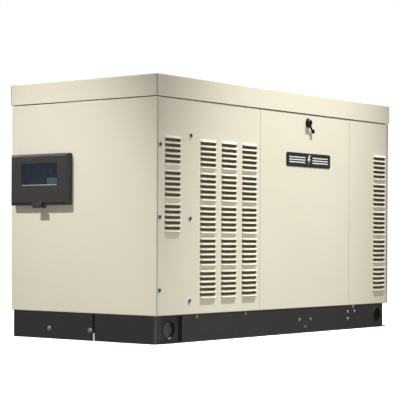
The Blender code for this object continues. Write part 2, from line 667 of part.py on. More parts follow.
def pulley_profile(radius, width, bore_reach):
    """A grooved belt wheel with a stub shaft that reaches back towards the engine."""
    groove = radius - 0.004
    return [(0, width), (radius, width), (radius, width - 0.002), (groove, width - 0.004), (groove, 0.004),
            (radius, 0.002), (radius, 0), (0.016, 0), (0.016, -bore_reach), (0, -bore_reach)]


def make_belt_drive():
    width = BELT_X[1] - BELT_X[0] + 0.008
    left = BELT_X[0] - 0.004
    wheels = (("crank_pulley", 0, CRANK_Z, CRANK_PULLEY_R, left - 0.4256),
              ("charging_pulley", CHARGER_Y, CHARGER_Z, CHARGER_PULLEY_R, left - 0.4356))
    for name, y, z, radius, reach in wheels:
        turned(name, pulley_profile(radius, width, reach), (left, y, z), "X", STEEL, 32)
    turned("charging_alternator",
           [(0, 0.095), (0.045, 0.095), (0.058, 0.085), (0.058, 0.012), (0.045, 0), (0, 0)],
           (0.340, CHARGER_Y, CHARGER_Z), "X", CAST_ALUMINIUM, 28)
    circles = ((0, CRANK_Z, CRANK_PULLEY_R), (0, FAN_Z, FAN_PULLEY_R),
               (CHARGER_Y, CHARGER_Z, CHARGER_PULLEY_R))
    around = []
    for y, z, radius in circles:
        for step in range(36):
            angle = math.tau * step / 36
            reach = radius - 0.0015
            around.append(Vector((y + reach * math.cos(angle), z + reach * math.sin(angle))))
    outline = [around[index] for index in convex_hull_2d(around)]
    shape = bmesh.new()
    points = [shape.verts.new((BELT_X[0], p.x, p.y)) for p in outline]
    edges = [shape.edges.new((points[i], points[(i + 1) % len(points)])) for i in range(len(points))]
    pushed = bmesh.ops.extrude_edge_only(shape, edges=edges)["geom"]
    bmesh.ops.translate(shape, vec=(BELT_X[1] - BELT_X[0], 0, 0),
                        verts=[v for v in pushed if isinstance(v, bmesh.types.BMVert)])
    centre = Vector((0, sum(p.x for p in outline) / len(outline), sum(p.y for p in outline) / len(outline)))
    for face in shape.faces:
        face.normal_update()
        outward = face.calc_center_median() - centre
        if face.normal.y * outward.y + face.normal.z * outward.z < 0:
            face.normal_flip()
    mesh = bpy.data.meshes.new("drive_belt")
    shape.to_mesh(mesh)
    shape.free()
    belt = add("drive_belt", mesh, RUBBER)
    belt.modifiers.new("thickness", "SOLIDIFY").thickness = 0.005
    belt.modifiers["thickness"].offset = 1


def make_cooling():
    left = BELT_X[0] - 0.004
    width = BELT_X[1] - BELT_X[0] + 0.008
    fan = turned("cooling_fan", [(0, 0.095), (0.045, 0.095), (0.045, 0.055), (0.022, 0.050),
                                 (0.022, width), (FAN_PULLEY_R, width), (FAN_PULLEY_R, width - 0.002),
                                 (FAN_PULLEY_R - 0.004, width - 0.004), (FAN_PULLEY_R - 0.004, 0.004),
                                 (FAN_PULLEY_R, 0.002), (FAN_PULLEY_R, 0), (0, 0)],
                 (left, 0, FAN_Z), "X", BLACK_PLASTIC, 28)
    blades = []
    for step in range(6):
        angle = math.radians(60) * step
        blade = box("blade", (-0.002, -0.032, 0.035), (0.002, 0.032, 0.205), BLACK_PLASTIC)
        middle = Vector((0, 0, 0.120))
        turn = Matrix.Rotation(angle, 3, "X") @ Matrix.Rotation(math.radians(55), 3, "Z")
        blade.rotation_euler = turn.to_euler()
        blade.location = Vector((left + 0.075, 0, FAN_Z)) + Matrix.Rotation(angle, 3, "X") @ middle
        blades.append(blade)
    join(fan, *blades)
    shroud = box("fan_shroud", (0.550, -0.250, 0.240), (0.5640, 0.250, 0.790), BLACK_PLASTIC, bevel=0.003)
    ring = cylinder("shroud_ring", (0.498, 0, FAN_Z), "X", 0.060, 0.222, BLACK_PLASTIC, 40)
    throat = cylinder("shroud_throat", (0.48, 0, FAN_Z), "X", 0.12, 0.216, BLACK_PLASTIC, 40)
    join(shroud, ring)
    cut(shroud, throat)
    radiator = box("radiator", (0.5655, -0.255, 0.215), (0.6150, 0.255, 0.800), CAST_ALUMINIUM)
    tanks = [box("tank", (0.5645, -0.260, low), (0.6200, 0.260, high), CAST_ALUMINIUM, bevel=0.006)
             for low, high in ((0.160, 0.222), (0.795, 0.850))]
    neck = cylinder("radiator_neck", (0.592, -0.120, 0.845), "Z", 0.017, 0.018, CAST_ALUMINIUM, 20)
    feet = [box("radiator_foot", (0.570, y - 0.03, 0.0904), (0.615, y + 0.03, 0.170), CAST_ALUMINIUM)
            for y in (-0.20, 0.20)]
    join(radiator, *tanks, neck, *feet)
    cap = turned("radiator_cap", [(0, 0.014), (0.024, 0.014), (0.028, 0.010), (0.028, 0), (0, 0)],
                 (0.592, -0.120, 0.8624), "Z", STEEL, 20)
    wings = box("cap_wings", (0.560, -0.126, 0.864), (0.624, -0.114, 0.873), STEEL)
    join(cap, wings)
    pipe("upper_hose", [(0.4075, 0.045, 0.5604), (0.4075, 0.045, 0.620), (0.415, 0.050, 0.720),
                        (0.450, 0.070, 0.800), (0.510, 0.090, 0.822), (0.5641, 0.090, 0.822)], 0.014, RUBBER)


def make_exhaust_and_air():
    pipe("exhaust_pipe", [(0.3606, 0.150, 0.545), (0.385, 0.150, 0.545), (0.445, 0.260, 0.570),
                          (0.560, 0.305, 0.610), (0.680, 0.310, 0.620), (0.700, 0.290, 0.620),
                          (0.700, 0.2406, 0.620)], 0.020, ALUMINISED)
    muffler = cylinder("muffler", (0.700, -0.240, 0.620), "Y", 0.480, 0.062, ALUMINISED, 32, bevel=0.008)
    legs = [box("muffler_leg", (0.695, y - 0.015, 0.0904), (0.705, y + 0.015, 0.600), ALUMINISED)
            for y in (-0.17, 0.17)]
    join(muffler, *legs)
    cleaner = cylinder("air_cleaner", (-0.330, 0.0, 0.680), "X", 0.270, 0.075, BLACK_PLASTIC, 32, bevel=0.006)
    stand = box("air_cleaner_stand", (-0.240, -0.03, 0.5404), (-0.170, 0.03, 0.640), BLACK_PLASTIC)
    join(cleaner, stand)
    battery = box("battery", (-0.490, 0.190, 0.0904), (-0.280, 0.328, 0.285), BLACK_PLASTIC, bevel=0.004)
    posts = [cylinder("battery_post", (x, 0.225, 0.280), "Z", 0.020, 0.009, STEEL, 16)
             for x in (-0.460, -0.310)]
    join(battery, *posts)


def make_bulkhead():
    wall = box("bulkhead", (-0.602, -0.335, PANEL_LOW), (-0.599, 0.335, 0.860), ZINC)
    inlet = cylinder("air_inlet", (-0.65, 0, CRANK_Z), "X", 0.10, 0.130, ZINC, 32)
    cut(wall, inlet)


make_panels()
make_roof()
make_base()
make_doors()
make_controls()
make_bulkhead()
make_mounts()
make_generator()
make_engine()
make_belt_drive()
make_cooling()
make_exhaust_and_air()
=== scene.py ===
# %% [markdown]
# # A home standby generator
# The machine is a long sheet-metal case on a black steel base. An engine, a generator and a radiator fill
# the inside, and a hinged cover on the end protects the controls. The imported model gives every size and
# place, and the cells below give each piece its final surface and each surface its finish.

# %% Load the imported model
import math

import bmesh
import bpy
from mathutils import Matrix, Vector


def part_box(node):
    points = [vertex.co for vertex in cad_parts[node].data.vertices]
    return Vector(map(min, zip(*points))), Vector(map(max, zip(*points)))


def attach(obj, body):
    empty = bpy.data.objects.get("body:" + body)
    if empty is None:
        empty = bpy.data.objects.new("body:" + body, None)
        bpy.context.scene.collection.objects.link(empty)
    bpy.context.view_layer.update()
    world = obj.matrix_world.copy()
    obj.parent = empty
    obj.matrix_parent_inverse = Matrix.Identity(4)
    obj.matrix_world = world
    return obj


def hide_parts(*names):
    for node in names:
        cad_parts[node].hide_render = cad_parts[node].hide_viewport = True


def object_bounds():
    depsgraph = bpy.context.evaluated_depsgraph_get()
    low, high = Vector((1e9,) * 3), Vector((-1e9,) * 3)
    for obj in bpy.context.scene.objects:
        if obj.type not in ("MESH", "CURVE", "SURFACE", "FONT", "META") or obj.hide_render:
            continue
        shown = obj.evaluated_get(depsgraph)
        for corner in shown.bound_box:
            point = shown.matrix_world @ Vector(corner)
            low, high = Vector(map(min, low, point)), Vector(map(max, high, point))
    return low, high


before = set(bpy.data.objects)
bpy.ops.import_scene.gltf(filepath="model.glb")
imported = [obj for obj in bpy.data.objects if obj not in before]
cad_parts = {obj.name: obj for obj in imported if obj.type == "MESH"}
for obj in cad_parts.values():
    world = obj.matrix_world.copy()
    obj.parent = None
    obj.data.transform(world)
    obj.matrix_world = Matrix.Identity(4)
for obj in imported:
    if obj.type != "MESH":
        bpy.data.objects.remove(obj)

CAD_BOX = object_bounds()
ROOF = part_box("roof")
CASE_MIDDLE = (ROOF[0].x + ROOF[1].x) / 2
FRONT_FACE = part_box("front_door")[0].y
REAR_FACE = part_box("rear_door")[1].y
CONTROL_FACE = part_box("control_end_panel")[0].x
DISCHARGE_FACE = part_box("discharge_end_panel")[1].x
print("case", [round(v, 3) for v in ROOF[1] - ROOF[0]], "middle at x", round(CASE_MIDDLE, 4))


# %% [markdown]
# ## Camera
# A product view of a machine this long is taken from far away with a long lens, low down and level, so that
# upright edges stay upright. Raising the frame with a lens shift, in place of tilting, keeps them parallel.

# %% Set up the camera
LENS_MM = 133.65
HORIZON_SHIFT = 0.0995
CAMERA_PLACE = Vector((CASE_MIDDLE - 4.8055, -3.7021, 0.3705))
HEADING = math.radians(38.07)
LEAN = math.radians(0.292)

camera = bpy.data.objects.new("camera", bpy.data.cameras.new("camera"))
bpy.context.scene.collection.objects.link(camera)
camera.data.lens = LENS_MM
camera.data.shift_y = HORIZON_SHIFT
camera.data.clip_end = 200
ahead = Vector((math.cos(HEADING), math.sin(HEADING), 0))
across = Vector((math.sin(HEADING), -math.cos(HEADING), 0))
camera_right = across * math.cos(LEAN) + Vector((0, 0, math.sin(LEAN)))
camera_up = Vector((0, 0, math.cos(LEAN))) - across * math.sin(LEAN)
camera_turn = Matrix((camera_right, camera_up, -ahead)).transposed().to_4x4()
camera.matrix_world = Matrix.Translation(CAMERA_PLACE) @ camera_turn
bpy.context.scene.camera = camera
print("camera", [round(v, 3) for v in camera.location])


# %% [markdown]
# ## Colours and shader nodes
# Paint charts give colours as sRGB hex, while shaders work in linear light, so one function converts them.
# One more function adds a shader node, fills its sockets and makes its links. A pattern's size is given
# in millimetres: a noise of scale S repeats about every 1/S metres.

# %% Colour and node helpers
def linear(hex_colour):
    """An sRGB hex colour as linear RGBA."""
    values = [int(hex_colour[start:start + 2], 16) / 255 for start in (1, 3, 5)]
    return tuple(v / 12.92 if v <= 0.04045 else ((v + 0.055) / 1.055) ** 2.4 for v in values) + (1.0,)


def add_node(material, kind, inputs=None, **settings):
    """One shader node; inputs maps socket names or numbers to a value or to the socket that feeds it."""
    tree = material.node_tree
    node = tree.nodes.new(kind)
    for key, value in settings.items():
        setattr(node, key, value)
    for key, value in (inputs or {}).items():
        if isinstance(value, bpy.types.NodeSocket):
            tree.links.new(value, node.inputs[key])
        else:
            node.inputs[key].default_value = value
    return node


print("middle grey is", round(linear("#808080")[0], 3), "in linear light")

# %% [markdown]
# ## One recipe for most finishes
# Paint, plate, plastic and rubber all have slow patches of slightly different colour and a fine grain. One
# noise mixes two colours, and a finer one moves the roughness and, through a Bump node, the surface itself.

# %% A finish from two noises
def surface(name, light, dark, patch_mm, grain_mm, depth_mm, roughness, spread=0.06, metallic=0.0,
            stretch=(1, 1, 1), detail=2.0):
    """A finish with slow colour patches and a fine grain that sets its bump and its roughness."""
    material = bpy.data.materials.new(name)
    material.use_nodes = True
    shader = material.node_tree.nodes["Principled BSDF"]
    shader.inputs["Metallic"].default_value = metallic
    place = add_node(material, "ShaderNodeTexCoord").outputs["Object"]
    place = add_node(material, "ShaderNodeMapping", {"Vector": place, "Scale": stretch}).outputs["Vector"]
    patches = add_node(material, "ShaderNodeTexNoise", {
        "Vector": place, "Scale": 1000 / patch_mm, "Detail": 3.0})
    tint = add_node(material, "ShaderNodeMix", {0: patches.outputs["Fac"], 6: linear(light), 7: linear(dark)},
                    data_type="RGBA")
    grain = add_node(material, "ShaderNodeTexNoise", {
        "Vector": place, "Scale": 1000 / grain_mm, "Detail": detail})
    polish = add_node(material, "ShaderNodeMapRange", {
        "Value": grain.outputs["Fac"], "To Min": roughness - spread, "To Max": roughness + spread})
    relief = add_node(material, "ShaderNodeBump", {
        "Height": grain.outputs["Fac"], "Distance": depth_mm / 1000, "Strength": 1.0})
    links = material.node_tree.links
    links.new(tint.outputs[2], shader.inputs["Base Color"])
    links.new(polish.outputs["Result"], shader.inputs["Roughness"])
    links.new(relief.outputs["Normal"], shader.inputs["Normal"])
    return material


# %% [markdown]
# ## Painted metal
# The case is steel with a baked polyester powder coat. Powder flows out as it melts, which leaves a satin
# film with a faint orange peel a couple of millimetres across. The base has the same coat in black, and the
# engine is sprayed. Grain finer than about half a millimetre would not show, so it is drawn coarser.

# %% Powder coats and enamels
# Baked polyester powder on smooth sheet: a warm, even satin with a soft, wide highlight.
cream_coat = surface("cream_polyester_powder_coat", "#EAE4D2", "#E3DCC8", 320, 2.4, 0.010, 0.46, 0.05)
cream_coat.node_tree.nodes["Principled BSDF"].inputs["Coat Weight"].default_value = 0.08
# The same powder in black on thick plate: rougher, so its highlights are wide and grey.
black_coat = surface("black_polyester_powder_coat", "#2F2B2C", "#262324", 90, 2.0, 0.020, 0.52, 0.08)
# Sprayed enamel on rough castings: a half gloss broken up by the sand grain below it.
engine_enamel = surface("grey_engine_enamel", "#5B5F62", "#46494C", 60, 3.0, 0.12, 0.45, 0.10)
# Sprayed enamel on a drawn steel can: smooth and glossy, with one clear highlight.
white_enamel = surface("white_canister_enamel", "#E4E3DE", "#D5D3CC", 40, 2.0, 0.010, 0.30, 0.05)
print("painted finishes", [m.name for m in (cream_coat, black_coat, engine_enamel, white_enamel)])

# %% [markdown]
# ## Plated metal
# Zinc is plated on small hardware as it comes, with a yellow chromate, or with a black dye. Each is a metal
# with a cloudy lustre, so the patches are small and the roughness is low.

# %% Plated metals
# Electroplated zinc: bright, slightly blue and cloudy, so a screw glints without mirroring anything.
zinc_plate = surface("bright_zinc_plate", "#C9CBCC", "#A9ABAD", 12, 0.8, 0.010, 0.32, 0.08, metallic=1.0)
# Zinc with a yellow chromate: a brassy tint that varies from place to place.
yellow_zinc = surface("yellow_chromate_zinc", "#C9A95A", "#9C8450", 10, 0.8, 0.010, 0.34, 0.08, metallic=1.0)
# Zinc with a black dye: nearly black, with a small sharp highlight on every edge.
black_zinc = surface("black_zinc_plate", "#2A2A2C", "#161617", 14, 0.8, 0.012, 0.30, 0.10, metallic=0.6)
# Black oxide on a screw's recess: a dark, oily gleam.
black_oxide = surface("black_oxide_screw_steel", "#26282C", "#17181B", 6, 0.6, 0.006, 0.28, 0.08,
                      metallic=0.7)
print("plated finishes", [m.name for m in (zinc_plate, yellow_zinc, black_zinc, black_oxide)])

# %% [markdown]
# ## Metal without a plating
# A stretched grain stands for turning lines, a coarse one for a sand mould, and patches a centimetre across
# for the spangles of zinc that froze on sheet.

# %% Bare metals
# Turned steel: fine lines across the axis draw the highlight out into a streak.
turned_steel = surface("turned_steel", "#9EA0A3", "#7F8184", 30, 1.2, 0.020, 0.34, 0.10, metallic=1.0,
                       stretch=(1, 0.15, 0.15))
# Sand-cast aluminium: pale, grainy and without a clear highlight.
cast_aluminium = surface("sand_cast_aluminium", "#A8AAAC", "#8E9092", 25, 1.5, 0.10, 0.52, 0.10, metallic=1.0)
# Sheet dipped in aluminium: dull and slightly warm, with broad cloudy patches.
aluminised_steel = surface("aluminised_steel_sheet", "#9B9B98", "#7D7C78", 60, 1.0, 0.015, 0.48, 0.12,
                           metallic=1.0)
# Hot-dip galvanised sheet: flat spangles about a centimetre across, each with its own shine.
galvanised_sheet = surface("galvanised_sheet", "#B4B8BA", "#8E9396", 14, 9.0, 0.006, 0.40, 0.14, metallic=1.0,
                           detail=0.0)
print("bare metals", [m.name for m in (turned_steel, cast_aluminium, aluminised_steel, galvanised_sheet)])

# %% [markdown]
# ## Plastics
# The control cover is a textured moulding: tool makers etch a leather-like grain of about a millimetre
# into the mould so that it stays matt. A polished mould gives a gloss, as on the stop button.

# %% Plastics
# Moulded ABS with an etched grain: charcoal and matt, with a pale sheen only where light grazes it.
textured_abs = surface("charcoal_textured_abs", "#383536", "#312F30", 50, 1.1, 0.035, 0.58, 0.08)
# Glass-filled nylon: near black, with a slightly fibrous, dry skin.
black_nylon = surface("black_glass_filled_nylon", "#1D1D1F", "#141415", 40, 1.0, 0.030, 0.52, 0.10)
# Moulded polypropylene: black and waxy.
battery_case = surface("black_polypropylene", "#202123", "#17181A", 60, 1.4, 0.020, 0.42, 0.08)
# Polished polycarbonate in signal red: a clean, saturated gloss.
red_polycarbonate = surface("red_polycarbonate", "#B01A12", "#9E140E", 20, 0.8, 0.006, 0.26, 0.05)
# Moulded nylon in yellow: an easy mark to find, with a satin skin.
yellow_nylon = surface("yellow_nylon", "#E0A91E", "#CF9814", 18, 0.9, 0.020, 0.42, 0.08)
plastics = (textured_abs, black_nylon, battery_case, red_polycarbonate, yellow_nylon)
print("plastics", [m.name for m in plastics])

# %% [markdown]
# ## Rubber, foam and louvre shade
# Soft materials scatter light in a tangle of cells or fibres, so they are rough, and their bump is deep.

# %% Rubber, foam and louvre shade
# Moulded EPDM rubber: dead matt, and greyer where it has weathered.
rubber = surface("black_epdm_rubber", "#1B1B1B", "#262624", 30, 0.9, 0.030, 0.74, 0.08)
# Ground belt rubber: fine lines run along the belt.
belt_rubber = surface("ribbed_belt_rubber", "#181818", "#222220", 10, 0.8, 0.030, 0.66, 0.08,
                      stretch=(3, 1, 1))
# Open-cell foam: deep cells of about two millimetres swallow nearly all the light.
foam = surface("open_cell_acoustic_foam", "#2E2E30", "#1C1C1E", 4, 2.2, 0.9, 0.95, 0.03)
# Needled felt in olive: a soft, uneven surface that shows as a warm dark tone between the blades.
# Painted shade: a warm dark olive, soft and uneven, for the shaded inside seen between the blades.
louvre_gap_shade = surface("painted_louvre_gap_shade", "#6F6751", "#5A533F", 9, 1.6, 0.5, 0.95, 0.03)
print("soft finishes", [m.name for m in (rubber, belt_rubber, foam, louvre_gap_shade)])

# %% [markdown]
# ## Window and screen
# The cover's window is smoked polycarbonate: a thin dark pane that still shows the panel behind it. The
# screen behind it is a glossy, unlit display, so its colour is only the slate blue of its front film.

# %% Window and screen
# Smoked polycarbonate: dark and glossy, and clear enough to show what lies behind it.
PANE_OPACITY = 0.38
smoked_pane = surface("smoked_polycarbonate", "#33424E", "#2A3843", 70, 6.0, 0.002, 0.08, 0.02)
smoked_pane.node_tree.nodes["Principled BSDF"].inputs["Alpha"].default_value = PANE_OPACITY
# The film over an unlit display: smooth slate blue with a soft mirror sheen.
screen_film = surface("display_front_film", "#465360", "#343E49", 60, 2.0, 0.002, 0.14, 0.03)
print(len(bpy.data.materials), "finishes so far")


# %% [markdown]
# ## Floor and studio light
# The floor is a plain pale sheet that only the camera sees. One hard-edged lamp stands high above the long
# side and another above the control end, so that hoods and screws throw short shadows downwards.

# %% Build the floor
FLOOR_SIZE = 60.0
FLOOR_GLOW = 0.55
floor_shape = bmesh.new()
bmesh.ops.create_grid(floor_shape, x_segments=1, y_segments=1, size=FLOOR_SIZE / 2)
bmesh.ops.translate(floor_shape, verts=floor_shape.verts, vec=(0, 0, CAD_BOX[0][2] - 0.0005))
floor_mesh = bpy.data.meshes.new("studio_floor")
floor_shape.to_mesh(floor_mesh)
floor_shape.free()
floor = bpy.data.objects.new("studio_floor", floor_mesh)
bpy.context.scene.collection.objects.link(floor)
# Matt painted paper: nearly white, with a little glow of its own so that it is pale far away too.
floor_finish = surface("pale_studio_floor", "#F6F6F5", "#F3F3F2", 900, 40, 0.01, 0.85, 0.03)
floor_shader = floor_finish.node_tree.nodes["Principled BSDF"]
floor_shader.inputs["Emission Color"].default_value = (1, 1, 1, 1)
floor_shader.inputs["Emission Strength"].default_value = FLOOR_GLOW
floor_mesh.materials.append(floor_finish)
floor.visible_diffuse = False
floor.visible_glossy = False
print("floor at z", round(floor_mesh.vertices[0].co.z, 4))


# %% [markdown]
# ## Lamps
# A spot lamp gives crisp shadows, and its cone keeps the light on one side of the case. Large area lamps
# stand in for pale cards near the ground and for the room behind. A weak sun only brings up the floor.

# %% Hang the lamps
def lamp(name, kind, place, target, watts, **settings):
    """A lamp at a place, turned towards a target and hidden from the camera."""
    light = bpy.data.lights.new(name, kind)
    light.energy = watts
    for key, value in settings.items():
        setattr(light, key, value)
    holder = bpy.data.objects.new(name, light)
    bpy.context.scene.collection.objects.link(holder)
    holder.location = place
    holder.rotation_euler = (Vector(target) - Vector(place)).to_track_quat("-Z", "Y").to_euler()
    holder.visible_camera = False
    return holder


lamp("long_side_key", "SPOT", (0.62, -1.9, 4.4), (0.06, -0.36, 0.42), 1100, spot_size=math.radians(26.5),
     spot_blend=1.0, shadow_soft_size=0.10)
lamp("control_end_key", "SPOT", (-3.0, 0.9, 3.5), (-0.79, 0.06, 0.38), 620, spot_size=math.radians(22),
     spot_blend=1.0, shadow_soft_size=0.08)
lamp("corner_bounce", "AREA", (-1.9, -1.7, 0.05), (-0.84, -0.30, 0.15), 12, size=0.8)
lamp("front_bounce", "AREA", (0.15, -2.3, 0.05), (0.05, -0.36, 0.15), 10, size=2.0)
lamp("rear_fill", "AREA", (0.6, 4.5, 3.0), (0.0, 0.3, 0.5), 140, size=2.5)
lamp("discharge_fill", "AREA", (4.5, 0.6, 3.0), (0.8, 0.0, 0.5), 120, size=2.5)
lamp("floor_wash", "SUN", (0, 0, 6), (0, 0, 0), 1.0, angle=math.radians(6))

# %% [markdown]
# ## Sky
# The sky is white where the camera sees it, and a weak warm grey where it lights the machine. A Light Path
# node tells the two apart, and a Mix and a Map Range node pick the colour and the strength for each.

# %% Light the sky
SKY_STRENGTH = 0.26
WARM_WHITE = (1.0, 0.975, 0.90, 1)
WHITE = (1, 1, 1, 1)
sky = bpy.data.worlds.new("studio_sky")
bpy.context.scene.world = sky
sky.use_nodes = True
seen = add_node(sky, "ShaderNodeLightPath").outputs["Is Camera Ray"]
level = add_node(sky, "ShaderNodeMapRange", {"Value": seen, "To Min": SKY_STRENGTH, "To Max": 1.0})
tone = add_node(sky, "ShaderNodeMix", {0: seen, 6: WARM_WHITE, 7: WHITE}, data_type="RGBA")
background = sky.node_tree.nodes["Background"]
sky.node_tree.links.new(tone.outputs[2], background.inputs["Color"])
sky.node_tree.links.new(level.outputs["Result"], background.inputs["Strength"])
bpy.context.scene.view_settings.view_transform = "Standard"
print("sky strength", SKY_STRENGTH)


# %% [markdown]
# ## Helpers for new pieces
# Each new piece is drawn in a bmesh, written to an object that stays at the origin, and told which body of
# the machine it rides on, which node it stands for and which finish it wears.

# %% Piece helpers
FLAT_FACE = 0.0004
COPLANAR = 0.01


def new_piece(name, shape, material, body, slot, *nodes, smooth=38, thickness=0.0):
    """Writes a bmesh to an object that rides on a body and stands for CAD nodes; flat areas stay flat."""
    mesh = bpy.data.meshes.new(name)
    curved = []
    for face in shape.faces:
        level = any(edge.calc_face_angle(1.0) < COPLANAR for edge in face.edges)
        curved.append(face.calc_area() < FLAT_FACE and not level)
    shape.to_mesh(mesh)
    shape.free()
    mesh.materials.append(material)
    mesh.shade_smooth()
    mesh.set_sharp_from_angle(angle=math.radians(smooth))
    mesh.polygons.foreach_set("use_smooth", curved)
    piece = bpy.data.objects.new(name, mesh)
    bpy.context.scene.collection.objects.link(piece)
    if thickness:
        wall = piece.modifiers.new("wall", "SOLIDIFY")
        wall.thickness = thickness
        wall.offset = -1
    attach(piece, body)
    if nodes:
        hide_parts(*nodes)
    return piece


def new_verts(result):
    """The vertices among what an operator made."""
    return [item for item in result["geom"] if isinstance(item, bmesh.types.BMVert)]


print("faces of more than", round(FLAT_FACE * 1e6), "square millimetres are shaded flat")

# %% [markdown]
# ## Louvred sheet panels
# A louvre is cut and pushed out of flat sheet by one stroke of a punch: its upper edge and its ends stay
# joined to the sheet, and its lower edge stands clear. A slot is open under each blade but the last of a
# group, so the dark inside shows between the blades. The panel is drawn flat: a plane is cut
# along the lines that the punch needs, the blade rows are pushed out along a curve, the gaps are removed,
# and the outer edge is folded back round a bend radius. Solidify then gives the sheet its gauge.

# %% Sheet and louvre sizes
SHEET = 0.0015
BEND = 0.0022
BEND_STEPS = (30, 60, 90)
RETURN_DEPTH = 0.018
PITCH = 0.0192
GROUP_EXTRA = 0.0038
BLADE_HEIGHT = 0.0098
BLADE_DEPTH = 0.009
BLADE_END = 0.0085
BLADE_ROWS = (0.0, 0.18, 0.45, 0.75, 1.0)
END_STEPS = (0.0, 0.3, 0.65, 1.0)
SIDES = {
    "front": (Vector((1, 0, 0)), Vector((0, -1, 0)), Vector((0, FRONT_FACE, 0))),
    "rear": (Vector((-1, 0, 0)), Vector((0, 1, 0)), Vector((0, REAR_FACE, 0))),
    "control": (Vector((0, -1, 0)), Vector((-1, 0, 0)), Vector((CONTROL_FACE, 0, 0))),
    "discharge": (Vector((0, 1, 0)), Vector((1, 0, 0)), Vector((DISCHARGE_FACE, 0, 0))),
}


def louvre_tops(top, groups):
    """(upper edge, is the last of its group) for every louvre of a column, from the top down."""
    tops = []
    for size in groups:
        for count in range(size):
            tops.append((top, count == size - 1))
            top -= PITCH
        top -= GROUP_EXTRA
    return tops


print("blade", BLADE_HEIGHT, "of pitch", PITCH)

# %% [markdown]
# ## Punching a column
# The sheet is cut across at every blade's edge and along the blade's rounded ends. The lower edge of each
# blade is split from the sheet, the blade's vertices rise along a curve, and the gaps are deleted.

# %% Cut and push out
def split(shape, faces, point, normal):
    """Cuts the given faces along a plane and returns all the faces that they became."""
    edges = {e for f in faces for e in f.edges}
    verts = {v for f in faces for v in f.verts}
    cut = bmesh.ops.bisect_plane(shape, geom=[*faces, *edges, *verts], plane_co=point, plane_no=normal,
                                 dist=1e-6)
    return [item for item in cut["geom"] if isinstance(item, bmesh.types.BMFace)]


def within(faces, axis, low, high):
    """The faces whose middle lies between two places along an axis."""
    return [f for f in faces if low < f.calc_center_median()[axis] < high]


def blade_reach(down, inward):
    """How far a blade stands out, from 0 to 1, at a share of its height and of its rounded end."""
    slope = 0.55 * down + 0.45 * (1 - (1 - down) ** 2)
    return slope * math.sin(math.radians(90) * min(inward, 1.0))


def press_column(shape, faces, left, right, tops, height, depth, gaps):
    """Pushes one column of louvres out of the sheet, and removes the gaps between the blades of a group."""
    strip = within(faces, 0, left, right)
    gap = PITCH - height
    for top, _ in tops:
        for row in BLADE_ROWS:
            strip = split(shape, strip, (0, top - row * height, 0), (0, 1, 0))
    for step in END_STEPS[1:]:
        for edge in (left + step * BLADE_END, right - step * BLADE_END):
            strip = split(shape, strip, (edge, 0, 0), (1, 0, 0))
    blades = [within(strip, 1, top - height, top) for top, _ in tops]
    lips = {e for (top, _), faces_of_blade in zip(tops, blades) for f in faces_of_blade for e in f.edges
            if all(abs(v.co.y - top + height) < 1e-5 for v in e.verts)}
    slots = []
    for top, last in tops:
        if gaps and not last:
            slots += within(strip, 1, top - height - gap, top - height)
    bmesh.ops.split_edges(shape, edges=list(lips))
    for (top, _), faces_of_blade in zip(tops, blades):
        for vert in {v for f in faces_of_blade for v in f.verts}:
            inward = min(vert.co.x - left, right - vert.co.x) / BLADE_END
            vert.co.z = depth * blade_reach((top - vert.co.y) / height, inward)
    if slots:
        bmesh.ops.delete(shape, geom=slots, context="FACES")


print("half way down, a blade has risen to", round(blade_reach(0.5, 1.0), 3), "of its depth")

# %% [markdown]
# ## Folding and standing up
# A press brake rolls the sheet's edge round a bend radius. The rim is extruded in a few steps along a
# quarter circle, and once more straight back. A matrix then turns the flat drawing onto its side of the case.

# %% Fold and stand up
def fold_edges(shape, rim, low, high, bend, reach):
    """Rolls the outer edge of a flat sheet back round a bend and on into a straight return."""
    origin = {v: v.co.copy() for e in rim for v in e.verts}
    edges = rim
    for angle in [*BEND_STEPS, None]:
        fresh = bmesh.ops.extrude_edge_only(shape, edges=edges)["geom"]
        edges = [item for item in fresh if isinstance(item, bmesh.types.BMEdge) and item.is_boundary]
        following = {}
        for vert in [item for item in fresh if isinstance(item, bmesh.types.BMVert)]:
            start = min(origin.items(), key=lambda pair: (pair[0].co - vert.co).length)[1]
            outward_x = (start.x > high[0] - 1e-6) - (start.x < low[0] + 1e-6)
            outward_y = (start.y > high[1] - 1e-6) - (start.y < low[1] + 1e-6)
            rolled = math.radians(90 if angle is None else angle)
            drop = reach if angle is None else bend * (1 - math.cos(rolled))
            grow = bend * math.sin(rolled)
            vert.co = (start.x + outward_x * grow, start.y + outward_y * grow, -drop)
            following[vert] = start
        origin = following


def stand_up(shape, side):
    """Turns a sheet drawn flat (x along, y up, z outwards) onto one side of the case."""
    along, outward, face = SIDES[side]
    facing = Matrix((along, Vector((0, 0, 1)), outward)).transposed().to_4x4()
    bmesh.ops.transform(shape, matrix=Matrix.Translation(face) @ facing, verts=shape.verts)


print("bend radius", BEND, "in", len(BEND_STEPS), "steps")

# %% [markdown]
# ## A whole sheet
# A grid of one face is scaled to the panel's flat size, its rim is folded, and only the flat face is cut
# for louvres. The panel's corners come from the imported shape, a little short of it where a seam shows.

